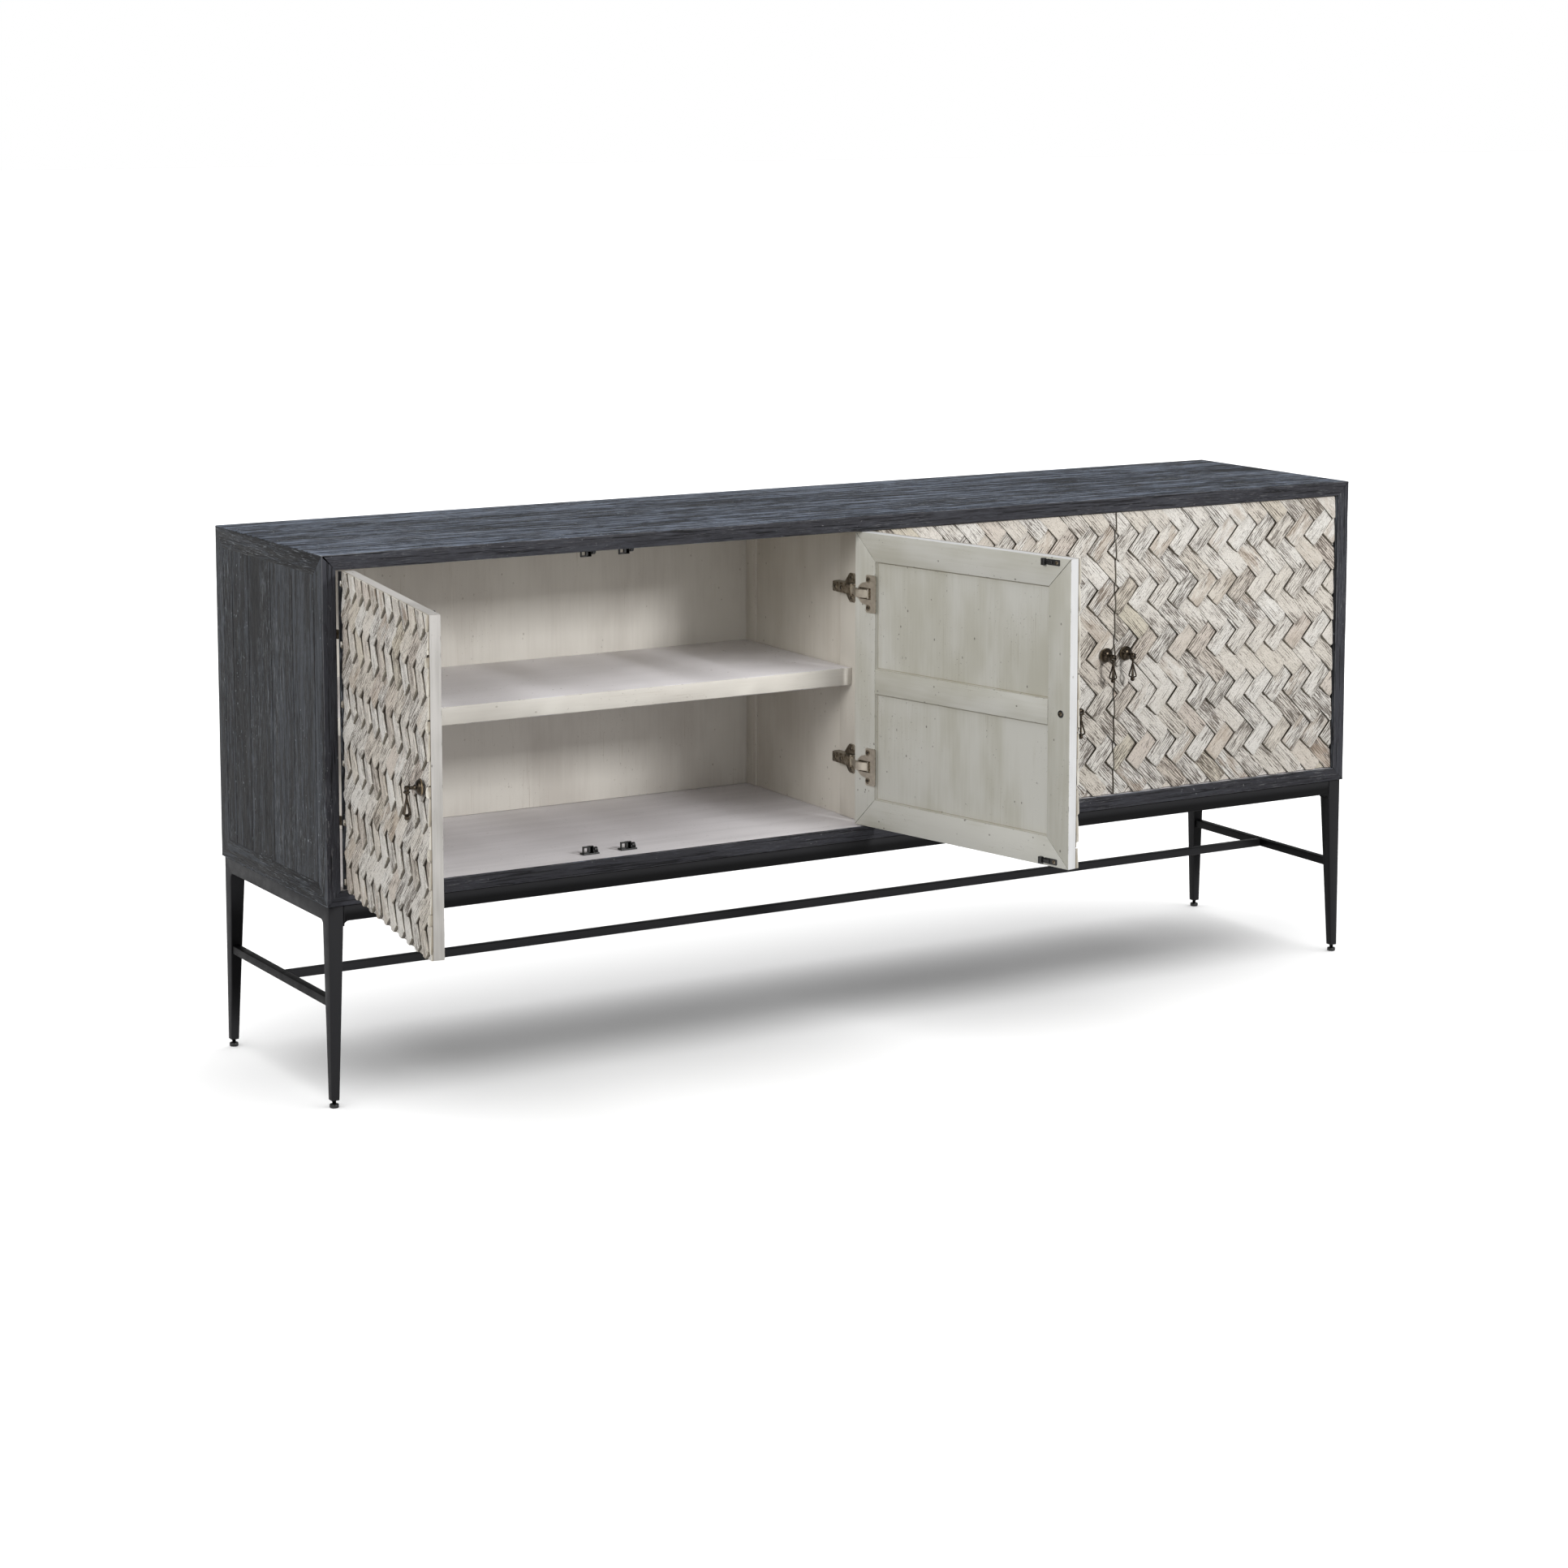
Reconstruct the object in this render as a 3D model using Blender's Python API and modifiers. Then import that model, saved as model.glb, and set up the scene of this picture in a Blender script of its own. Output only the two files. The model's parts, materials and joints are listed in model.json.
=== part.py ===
"""Sideboard buffet: a mitred case on a steel stand, with four doors faced in herringbone blocks.

Metres, +Z up. Every length below is measured from the case: x from its centre line, y from its front face
backwards, z from the floor. The case stands a little off the world origin, which is the bottom centre of
the whole object's box with the two left doors standing open.
"""

import math
from collections import namedtuple

import bmesh
import bpy
from mathutils import Matrix, Vector

# Case
WIDTH = 2.030
DEPTH = 0.442
HEIGHT = 0.880
UNDERSIDE = 0.325
TOP_THICK = 0.025
SIDE_THICK = 0.024
BOTTOM_THICK = 0.0235
BACK_THICK = 0.010
BACK_INSET = 0.004
PARTITION_THICK = 0.025
PARTITION_FRONT = 0.033
PARTITION_FRONT_STILE = 0.106
PARTITION_REAR_STILE = 0.394
PARTITION_RECESS = 0.0025
SHELF_FRONT = 0.066
SHELF_BOTTOM = 0.5815
SHELF_TOP = 0.6115
EDGE_ROUND = 0.001
FIT = 0.0003
MITRE_GAP = 0.00045

# Where the case stands
CASE_X = 0.038
CASE_Y = 0.023

# Steel stand
STAND_INSET = 0.004
TUBE = 0.025
LEG_FOOT = 0.0135
LEG_BOTTOM = 0.012
FILLET = 0.009
BAR = 0.014
BAR_CENTRE_Z = 0.168
SIDE_BAR_INSET = 0.0065
WELD_OVERLAP = 0.002
FOOT_R = 0.0075
FOOT_NECK_R = 0.0032
FOOT_DISC = 0.006
FOOT_CHAMFER = 0.0008

# Doors, all of one size
DOOR_WIDTH = 0.492
DOOR_BOTTOM = 0.3505
DOOR_TOP = 0.8535
DOOR_FRONT = 0.001
FACING_THICK = 0.010
DOOR_THICK = 0.027
SIDE_GAP = 0.002
MEETING_GAP = 0.003
STILE = 0.048
MID_RAIL = 0.042
PANEL_RECESS = 0.006

# Cup hinges
CUP_FROM_EDGE = 0.0255
CUP_R = 0.0175
CUP_DEPTH = 0.0105
CUP_WALL = 0.001
FLANGE_THICK = 0.0015
FLANGE_FROM = 0.0275
FLANGE_TO = 0.0505
FLANGE_TALL = 0.064
HINGE_FROM_END = 0.1035
TONGUE_FROM = 0.0055
TONGUE_TO = 0.0125
TONGUE_TALL = 0.012
TONGUE_THICK = 0.0025
PLATE_THICK = 0.0025
PLATE_FROM = 0.052
PLATE_TO = 0.086
PLATE_TALL = 0.050
ARM_FROM = 0.040
ARM_TO = 0.104
ARM_TALL = 0.018
ARM_REACH = 0.016
NECK_LAP = 0.006
NECK_JOIN = 0.046
NECK_BACK = 0.052
HOOK_THICK = 0.003
HOOK_TALL = 0.011
HOOK_TIP = 0.0205

# Pulls: turned profiles as (radius, distance out of the door) and (radius, height above the pivot)
PULL_FROM_EDGE = 0.0195
PULL_Z = 0.602
PULL_AXIS_OUT = 0.021
EYE_R = 0.0035
ROSETTE = (
    (0.0024, 0.0165),
    (0.0024, 0.0105),
    (0.0055, 0.0092),
    (0.0062, 0.0080),
    (0.0095, 0.0062),
    (0.0118, 0.0036),
    (0.0128, 0.0016),
    (0.0128, 0.0),
    (0.0, 0.0),
)
PENDANT = (
    (0.0, -0.0048),
    (0.0030, -0.0048),
    (0.0030, -0.0065),
    (0.0019, -0.0085),
    (0.0017, -0.016),
    (0.0026, -0.022),
    (0.0045, -0.029),
    (0.0066, -0.034),
    (0.0070, -0.0365),
    (0.0058, -0.0388),
    (0.0020, -0.0394),
)
PENDANT_DROP = 0.047
PENDANT_BALL_R = 0.0038
EAR_IN = 0.0039
EAR_OUT = 0.0051
EAR_HALF_DEEP = 0.002
EAR_TOP = 0.0022
EAR_FOOT = -0.0058
BRIDGE_TOP = -0.0044
BRIDGE_FOOT = -0.0062

# Catches
CATCH_FROM_MEETING = 0.035
CATCH_WIDE = 0.030
CATCH_TALL = 0.014
CATCH_DEEP = 0.014
CATCH_FRONT = 0.0375
CATCH_BASE = 0.0025
CATCH_BODY_BACK = 0.002
CATCH_ROLLER_R = 0.0045
CATCH_ROLLER_TALL = 0.011
CATCH_ROLLER_UP = 0.0055

# hinge_side is -1 on the door's left and +1 on its right. The pivot is given from the door's hinge edge
# and from its front. The arm's hook is given from the hinge edge. opened is the angle the door stands at.
Door = namedtuple("Door", "name hinge_side bay_edge pivot_in pivot_back hook_in opened")
DOORS = (
    Door("left_outer", -1, "outer", 0.0015, 0.0, 0.0290, 99.4),
    Door("left_inner", 1, "inner", 0.0135, 0.0086, 0.0360, 102.4),
    Door("right_inner", -1, "inner", 0.0135, 0.0086, 0.0360, 0.0),
    Door("right_outer", 1, "outer", 0.0015, 0.0, 0.0290, 0.0),
)

TURNED_SIDES = 16
HALF = WIDTH / 2
CASE_TOP_IN = HEIGHT - TOP_THICK
CASE_FLOOR = UNDERSIDE + BOTTOM_THICK
SIDE_IN = HALF - SIDE_THICK
BACK_FACE = DEPTH - BACK_INSET - BACK_THICK
STAND_TOP = UNDERSIDE - FIT
CUT_PAST = 0.010
LENGTHWISE = Matrix.Rotation(math.radians(90), 4, "X")


def clear_scene():
    for obj in list(bpy.data.objects):
        bpy.data.objects.remove(obj, do_unlink=True)


def material(name, colour, roughness, metallic=0.0):
    made = bpy.data.materials.new(name)
    made.use_nodes = True
    shader = made.node_tree.nodes["Principled BSDF"]
    shader.inputs["Base Color"].default_value = (*colour, 1.0)
    shader.inputs["Roughness"].default_value = roughness
    shader.inputs["Metallic"].default_value = metallic
    made.diffuse_color = (*colour, 1.0)
    return made


def add(name, mesh, parent, finish, location=(0, 0, 0)):
    """A new object in the model's collection, parented and finished."""
    obj = bpy.data.objects.new(name, mesh)
    PARTS.objects.link(obj)
    obj.parent = parent
    obj.location = location
    if finish:
        obj.data.materials.append(finish)
    return obj


def block(name, low, high, parent, finish=None):
    """A box between two corners, given in any order."""
    low, high = Vector(map(min, low, high)), Vector(map(max, low, high))
    size = high - low
    bm = bmesh.new()
    bmesh.ops.create_cube(bm, size=1.0)
    bmesh.ops.scale(bm, vec=size, verts=bm.verts)
    mesh = bpy.data.meshes.new(name)
    bm.to_mesh(mesh)
    bm.free()
    return add(name, mesh, parent, finish, (low + high) / 2)


def cylinder(name, radius, length, centre, parent, finish=None, sides=24, turn=None):
    """A cylinder along z, or along another axis through a rotation."""
    bm = bmesh.new()
    bmesh.ops.create_cone(bm, cap_ends=True, segments=sides, radius1=radius, radius2=radius, depth=length)
    if turn:
        bmesh.ops.rotate(bm, cent=(0, 0, 0), matrix=turn, verts=bm.verts)
    mesh = bpy.data.meshes.new(name)
    bm.to_mesh(mesh)
    bm.free()
    return add(name, mesh, parent, finish, centre)


def bake(obj):
    """The object with its modifiers applied to its own mesh."""
    bpy.context.view_layer.update()
    graph = bpy.context.evaluated_depsgraph_get()
    mesh = bpy.data.meshes.new_from_object(obj.evaluated_get(graph))
    obj.modifiers.clear()
    obj.data = mesh
    return obj


def combine(obj, others, operation):
    """Union with, or cut by, other objects, which are then removed."""
    for other in others:
        boolean = obj.modifiers.new(operation.lower(), "BOOLEAN")
        boolean.operation = operation
        boolean.solver = "EXACT"
        boolean.object = other
    bake(obj)
    for other in others:
        bpy.data.objects.remove(other, do_unlink=True)
    return obj


def soften(obj, width):
    bevel = obj.modifiers.new("softened edges", "BEVEL")
    bevel.width = width
    bevel.segments = 1
    bevel.limit_method = "ANGLE"
    bevel.angle_limit = math.radians(40)


def turned(name, profile, parent, finish, location, turn=None):
    """A turned piece: (radius, z) points from the top of its axis, down its outside, to the bottom."""
    mesh = bpy.data.meshes.new(name)
    points = [(radius, 0.0, z) for radius, z in profile]
    mesh.from_pydata(points, [(i, i + 1) for i in range(len(points) - 1)], [])
    obj = add(name, mesh, parent, None, location)
    screw = obj.modifiers.new("turned", "SCREW")
    screw.axis = "Z"
    screw.steps = TURNED_SIDES
    screw.render_steps = TURNED_SIDES
    screw.use_merge_vertices = True
    screw.merge_threshold = 0.00001
    bake(obj)
    if turn:
        obj.data.transform(turn)
    obj.data.shade_smooth()
    obj.data.set_sharp_from_angle(angle=math.radians(35))
    use_finish(obj, finish)
    return obj


def use_finish(obj, finish):
    obj.data.materials.clear()
    obj.data.materials.append(finish)


def arc(centre, radius, start, end, steps):
    """Points on an arc, angles in degrees."""
    angles = [math.radians(start + (end - start) * i / steps) for i in range(steps + 1)]
    return [(centre[0] + radius * math.cos(a), centre[1] + radius * math.sin(a)) for a in angles]


def mitred(name, z_outer, z_inner, finish):
    """A top or bottom panel whose two ends are cut on the slant that the side panels meet."""
    obj = block(name, (-HALF, 0, z_outer), (HALF, DEPTH, z_inner), CASE, finish)
    inward = math.copysign(1, z_inner - z_outer)
    for vertex in obj.data.vertices:
        if vertex.co.z * inward > 0:
            vertex.co.x -= math.copysign(SIDE_THICK, vertex.co.x)


def build_case():
    dark, paint = FINISHES["dark wood"], FINISHES["interior paint"]
    mitred("top_panel", HEIGHT, CASE_TOP_IN, dark)
    mitred("bottom_panel", UNDERSIDE, CASE_FLOOR, dark)
    for side, name in ((-1, "left_side_panel"), (1, "right_side_panel")):
        panel = block(name, (side * HALF, 0, UNDERSIDE), (side * SIDE_IN, DEPTH, HEIGHT), CASE, dark)
        for vertex in panel.data.vertices:
            end = TOP_THICK if vertex.co.z > 0 else BOTTOM_THICK
            inner = vertex.co.x * side < 0
            vertex.co.z -= math.copysign(MITRE_GAP + end * inner, vertex.co.z)
    block(
        "back_panel",
        (-SIDE_IN + FIT, BACK_FACE, CASE_FLOOR + FIT),
        (SIDE_IN - FIT, BACK_FACE + BACK_THICK, CASE_TOP_IN - FIT),
        CASE,
        paint,
    )
    half = PARTITION_THICK / 2
    partition = block(
        "centre_partition",
        (-half, PARTITION_FRONT, CASE_FLOOR + FIT),
        (half, BACK_FACE - FIT, CASE_TOP_IN - FIT),
        CASE,
        paint,
    )
    recesses = [
        block(
            "recess",
            (side * (half - PARTITION_RECESS), PARTITION_FRONT_STILE, UNDERSIDE),
            (side * (half + PARTITION_RECESS), PARTITION_REAR_STILE, HEIGHT),
            CASE,
        )
        for side in (-1, 1)
    ]
    combine(partition, recesses, "DIFFERENCE")
    for side, name in ((-1, "left_shelf"), (1, "right_shelf")):
        shelf = block(
            name,
            (side * (half + FIT), SHELF_FRONT, SHELF_BOTTOM),
            (side * (SIDE_IN - FIT), BACK_FACE - FIT, SHELF_TOP),
            CASE,
            paint,
        )
        soften(shelf, EDGE_ROUND)


def leg(name, x_side, y_side):
    """A square leg, straight behind the rails and tapered below them on its two inner faces."""
    outer_x = x_side * (HALF - STAND_INSET)
    outer_y = STAND_INSET if y_side < 0 else DEPTH - STAND_INSET
    low = (outer_x, outer_y, LEG_BOTTOM)
    high = (outer_x - x_side * TUBE, outer_y - y_side * TUBE, STAND_TOP)
    obj = block(name, low, high, CASE)
    bm = bmesh.new()
    bm.from_mesh(obj.data)
    rail_underside = STAND_TOP - TUBE - obj.location.z
    geometry = bm.verts[:] + bm.edges[:] + bm.faces[:]
    bmesh.ops.bisect_plane(bm, geom=geometry, plane_co=(0, 0, rail_underside), plane_no=(0, 0, 1))
    taper = TUBE - LEG_FOOT
    for vertex in bm.verts:
        if vertex.co.z < rail_underside - 0.001:
            if vertex.co.x * x_side < 0:
                vertex.co.x += x_side * taper
            if vertex.co.y * y_side < 0:
                vertex.co.y += y_side * taper
    bm.to_mesh(obj.data)
    bm.free()
    return obj


def rail_outline(length):
    """Half-length symmetric rail seen from its side: straight on top, with a fillet down to each leg."""
    end = length / 2
    left = arc((-end + FILLET, -TUBE - FILLET), FILLET, 180, 90, 5)
    right = arc((end - FILLET, -TUBE - FILLET), FILLET, 90, 0, 5)
    return [(-end, 0.0)] + left + right + [(end, 0.0)]


def rail(name, length, centre, turn, finish=None):
    """A stand rail: its outline as a flat curve, extruded to the tube's width, then made a mesh."""
    curve = bpy.data.curves.new(name, "CURVE")
    curve.dimensions = "2D"
    curve.fill_mode = "BOTH"
    curve.extrude = TUBE / 2
    spline = curve.splines.new("POLY")
    outline = rail_outline(length)
    spline.points.add(len(outline) - 1)
    for point, (x, y) in zip(spline.points, outline):
        point.co = (x, y, 0.0, 1.0)
    spline.use_cyclic_u = True
    flat = bpy.data.objects.new(name + "_outline", curve)
    PARTS.objects.link(flat)
    bpy.context.view_layer.update()
    mesh = bpy.data.meshes.new_from_object(flat.evaluated_get(bpy.context.evaluated_depsgraph_get()))
    bpy.data.objects.remove(flat, do_unlink=True)
    bm = bmesh.new()
    bm.from_mesh(mesh)
    bmesh.ops.remove_doubles(bm, verts=bm.verts, dist=0.00001)
    bmesh.ops.recalc_face_normals(bm, faces=bm.faces)
    bm.to_mesh(mesh)
    bm.free()
    mesh.transform(turn)
    mesh.materials.clear()
    return add(name, mesh, CASE, finish, centre)


def build_stand():
    steel = FINISHES["stand steel"]
    crosswise = Matrix.Rotation(math.radians(90), 4, "Z") @ LENGTHWISE
    edge = HALF - STAND_INSET
    between_x = 2 * (edge - TUBE) - 2 * FIT
    between_y = DEPTH - 2 * (STAND_INSET + TUBE)
    for y, name in ((STAND_INSET + TUBE / 2, "front_rail"), (DEPTH - STAND_INSET - TUBE / 2, "back_rail")):
        soften(rail(name, between_x, (0, y, STAND_TOP), LENGTHWISE, steel), EDGE_ROUND)
    bar_low = BAR_CENTRE_Z - BAR / 2
    bar_high = BAR_CENTRE_Z + BAR / 2
    for side, name in ((-1, "left_end_frame"), (1, "right_end_frame")):
        frame = leg(name, side, -1)
        rear = leg("rear_leg", side, 1)
        x = side * (edge - TUBE / 2)
        top = rail("end_rail", between_y + WELD_OVERLAP, (x, DEPTH / 2, STAND_TOP), crosswise)
        inset = STAND_INSET + LEG_FOOT / 2
        bar = block(
            "side_bar",
            (side * (HALF - SIDE_BAR_INSET), inset, bar_low),
            (side * (HALF - SIDE_BAR_INSET - BAR), DEPTH - inset, bar_high),
            CASE,
        )
        combine(frame, [rear, top, bar], "UNION")
        use_finish(frame, steel)
    reach = HALF - SIDE_BAR_INSET - BAR - FIT
    long_bar = block(
        "long_stretcher",
        (-reach, DEPTH / 2 - BAR / 2, bar_low),
        (reach, DEPTH / 2 + BAR / 2, bar_high),
        CASE,
        steel,
    )
    soften(long_bar, EDGE_ROUND)
    rim = FOOT_R - FOOT_CHAMFER
    foot_profile = [(0, LEG_BOTTOM - FIT), (FOOT_NECK_R, LEG_BOTTOM - FIT), (FOOT_NECK_R, FOOT_DISC)]
    foot_profile += [(rim, FOOT_DISC), (FOOT_R, FOOT_DISC - FOOT_CHAMFER), (FOOT_R, FOOT_CHAMFER)]
    foot_profile += [(rim, 0.0), (0, 0.0)]
    inset = STAND_INSET + LEG_FOOT / 2
    for x_side, x_name in ((-1, "left"), (1, "right")):
        for y, y_name in ((inset, "front"), (DEPTH - inset, "back")):
            place = (x_side * (HALF - inset), y, 0)
            turned(f"{y_name}_{x_name}_foot", foot_profile, CASE, FINISHES["black foot"], place)


def door_edge(hinge_side, bay_edge):
    """x of the door's hinge edge when it is shut."""
    if bay_edge == "outer":
        return hinge_side * (SIDE_IN - SIDE_GAP)
    return -hinge_side * MEETING_GAP / 2


def hinge_heights():
    return (("lower", DOOR_BOTTOM + HINGE_FROM_END), ("upper", DOOR_TOP - HINGE_FROM_END))


def build_door(door):
    """One door's pieces, modelled shut around its hinge axis, then swung open by turning that axis."""
    inward = -door.hinge_side
    edge = door_edge(door.hinge_side, door.bay_edge)
    axis_x = edge + inward * door.pivot_in
    axis_y = DOOR_FRONT + door.pivot_back
    axis = bpy.data.objects.new(f"{door.name}_door_axis", None)
    PARTS.objects.link(axis)
    axis.parent = CASE
    axis.location = (axis_x, axis_y, 0)

    def at(s, t, z):
        """A point s from the hinge edge, t behind the door's front, at height z, in the axis's own frame."""
        return Vector((edge + inward * s - axis_x, DOOR_FRONT + t - axis_y, z))

    build_leaf(door.name, axis, at)
    for label, z in hinge_heights():
        build_cup(f"{door.name}_{label}_hinge_cup", z, axis, at)
    build_pull(door.name, axis, at)
    axis.rotation_euler.z = math.radians(door.opened) * door.hinge_side


def build_leaf(name, axis, at):
    """The painted frame with its two recessed panels and cup bores, and the facing glued on its front."""

    def slab(label, low, high, finish=None):
        return block(label, at(*low), at(*high), axis, finish)

    low = (0, FACING_THICK, DOOR_BOTTOM)
    high = (DOOR_WIDTH, DOOR_THICK, DOOR_TOP)
    frame = slab(f"{name}_door_frame", low, high, FINISHES["door paint"])
    middle = (DOOR_BOTTOM + DOOR_TOP) / 2
    cuts = []
    for low, high in (
        (DOOR_BOTTOM + STILE, middle - MID_RAIL / 2),
        (middle + MID_RAIL / 2, DOOR_TOP - STILE),
    ):
        start = (STILE, DOOR_THICK - PANEL_RECESS, low)
        cuts.append(slab("panel_recess", start, (DOOR_WIDTH - STILE, DOOR_THICK + CUT_PAST, high)))
    for _, z in hinge_heights():
        depth = CUP_DEPTH + CUT_PAST
        centre = at(CUP_FROM_EDGE, DOOR_THICK - CUP_DEPTH + depth / 2, z)
        cuts.append(cylinder("cup_bore", CUP_R, depth, centre, axis, turn=LENGTHWISE))
    combine(frame, cuts, "DIFFERENCE")
    high = (DOOR_WIDTH, FACING_THICK - FIT, DOOR_TOP)
    slab(f"{name}_door_facing", (0, 0, DOOR_BOTTOM), high, FINISHES["facing"])


def build_cup(name, z, axis, at):
    """The door half of a hinge: a hollow cup with its screw flange, and a tongue at the cup's rim."""
    cup_r = CUP_R - FIT
    back = DOOR_THICK + FIT
    tall = CUP_DEPTH - FIT + FLANGE_THICK
    centre = at(CUP_FROM_EDGE, back + FLANGE_THICK - tall / 2, z)
    cup = cylinder(name, cup_r, tall, centre, axis, FINISHES["hinge nickel"], turn=LENGTHWISE)
    hollow_centre = centre + Vector((0, CUP_WALL, 0))
    hollow = cylinder("hollow", cup_r - CUP_WALL, tall, hollow_centre, axis, turn=LENGTHWISE)
    half = FLANGE_TALL / 2
    low, high = (FLANGE_FROM, back, z - half), (FLANGE_TO, back + FLANGE_THICK, z + half)
    flange = block("flange", at(*low), at(*high), axis)
    half = TONGUE_TALL / 2
    low, high = (TONGUE_FROM, back, z - half), (TONGUE_TO, back + TONGUE_THICK, z + half)
    tongue = block("tongue", at(*low), at(*high), axis)
    combine(cup, [flange], "UNION")
    combine(cup, [hollow], "DIFFERENCE")
    combine(cup, [tongue], "UNION")


def build_pull(name, axis, at):
    """A rosette whose post ends in an eye, and the pendant that swings on the pin through that eye."""
    pull_s = DOOR_WIDTH - PULL_FROM_EDGE
    profile = [(0, PULL_AXIS_OUT + EYE_R)]
    profile += [(x, z + PULL_AXIS_OUT) for x, z in arc((0, 0), EYE_R, 70, -60, 4)]
    profile += ROSETTE
    turned(f"{name}_pull_base", profile, axis, FINISHES["bronze"], at(pull_s, -FIT, PULL_Z), LENGTHWISE)
    pivot = at(pull_s, -FIT - PULL_AXIS_OUT, PULL_Z)
    ball_z = PENDANT_BALL_R - PENDANT_DROP
    profile = list(PENDANT)
    profile += [(x, z + ball_z) for x, z in arc((0, 0), PENDANT_BALL_R, 60, -60, 5)]
    profile += [(0, -PENDANT_DROP)]
    pendant = turned(f"{name}_pull_pendant", profile, axis, FINISHES["bronze"], pivot)
    yoke = []
    for x in (-1, 1):
        low = pivot + Vector((x * EAR_IN, -EAR_HALF_DEEP, EAR_FOOT))
        high = pivot + Vector((x * EAR_OUT, EAR_HALF_DEEP, EAR_TOP))
        yoke.append(block("ear", low, high, axis))
    low = pivot + Vector((-EAR_OUT, -EAR_HALF_DEEP, BRIDGE_FOOT))
    high = pivot + Vector((EAR_OUT, EAR_HALF_DEEP, BRIDGE_TOP))
    yoke.append(block("bridge", low, high, axis))
    combine(pendant, yoke, "UNION")
    use_finish(pendant, FINISHES["bronze"])


def build_hinge_arm(door, label, z):
    """The case half of a hinge: winged plate on the panel, arm box, neck and the hook that enters the cup."""
    inward = -door.hinge_side
    on_side = door.bay_edge == "outer"
    wall = door.hinge_side * SIDE_IN if on_side else inward * PARTITION_THICK / 2
    face = wall + inward * FIT
    hook = door_edge(door.hinge_side, door.bay_edge) + inward * door.hook_in
    hook_far = hook + inward * HOOK_THICK
    box_far = face + inward * ARM_REACH
    name = f"{door.name}_{label}_hinge_arm"

    def piece(title, x, y, tall, finish=None):
        return block(title, (x[0], y[0], z - tall / 2), (x[1], y[1], z + tall / 2), CASE, finish)

    plate_x = (face, face + inward * PLATE_THICK)
    plate = piece(name, plate_x, (PLATE_FROM, PLATE_TO), PLATE_TALL, FINISHES["hinge nickel"])
    arm = piece("arm", (face + inward * PLATE_THICK / 2, box_far), (NECK_JOIN, ARM_TO), ARM_TALL)
    neck = piece("neck", (box_far - inward * NECK_LAP, hook_far), (ARM_FROM, NECK_BACK), HOOK_TALL)
    tip = piece("hook", (hook, hook_far), (HOOK_TIP, NECK_JOIN), HOOK_TALL)
    combine(plate, [arm, neck, tip], "UNION")


def build_catches():
    """A catch on the floor and one under the top for each door, beside the line where two doors meet."""
    black = FINISHES["catch black"]
    meeting = SIDE_IN - SIDE_GAP - DOOR_WIDTH - MEETING_GAP / 2
    back = CATCH_FRONT + CATCH_DEEP
    for door in DOORS:
        bay = -1 if door.name.startswith("left") else 1
        x = bay * meeting + CATCH_FROM_MEETING * door.hinge_side
        left, right = x - CATCH_WIDE / 2, x + CATCH_WIDE / 2
        for label, z, up in (("lower", CASE_FLOOR + FIT, 1), ("upper", CASE_TOP_IN - FIT, -1)):
            name = f"{door.name}_{label}_catch"
            low = (left, CATCH_FRONT + CATCH_BODY_BACK, z)
            body = block(name, low, (x + CATCH_WIDE / 6, back, z + up * CATCH_TALL), CASE, black)
            base = block("base", (left, CATCH_FRONT, z), (right, back, z + up * CATCH_BASE), CASE)
            centre = (x + CATCH_WIDE * 0.3, (CATCH_FRONT + back) / 2, z + up * CATCH_ROLLER_UP)
            roller = cylinder("roller", CATCH_ROLLER_R, CATCH_ROLLER_TALL, centre, CASE)
            combine(body, [base, roller], "UNION")
            use_finish(body, black)


clear_scene()
PARTS = bpy.data.collections.new("sideboard_buffet")
bpy.context.scene.collection.children.link(PARTS)
FINISHES = {
    "dark wood": material("charcoal stained pine", (0.036, 0.041, 0.050), 0.62),
    "interior paint": material("greige interior paint", (0.56, 0.53, 0.49), 0.60),
    "door paint": material("off-white door paint", (0.64, 0.62, 0.57), 0.55),
    "facing": material("whitewashed pine", (0.62, 0.57, 0.48), 0.80),
    "stand steel": material("gunmetal stand", (0.030, 0.031, 0.033), 0.42, 0.85),
    "black foot": material("black levelling foot", (0.012, 0.012, 0.012), 0.50),
    "hinge nickel": material("antique nickel hinge", (0.30, 0.26, 0.21), 0.35, 1.0),
    "bronze": material("antique bronze pull", (0.060, 0.050, 0.038), 0.38, 0.90),
    "catch black": material("black catch", (0.018, 0.018, 0.018), 0.45),
}
CASE = bpy.data.objects.new("case_datum", None)
PARTS.objects.link(CASE)
CASE.location = (CASE_X, CASE_Y, 0)
build_case()
build_stand()
for item in DOORS:
    build_door(item)
    for hinge, height in hinge_heights():
        build_hinge_arm(item, hinge, height)
build_catches()
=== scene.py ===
"""Looks of the sideboard buffet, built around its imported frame. Metres, +Z up, in the frame's coordinates.

Every door piece is built where it lies when its door is shut, then turned about the door's hinge axis.
A shape is (points, faces, edge) in its own axes, and a matrix places it. Meshes carry facts that the
materials read at each point: grain (metres along and across the fibres), tint (three numbers that vary
from board to board) and edge (above 0 on worn edges, below 0 in seams and on shaded walls).
"""

import json
import math
import random

import bmesh
import bpy
import numpy as np
from mathutils import Matrix, Vector
from mathutils.geometry import tessellate_polygon


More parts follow.
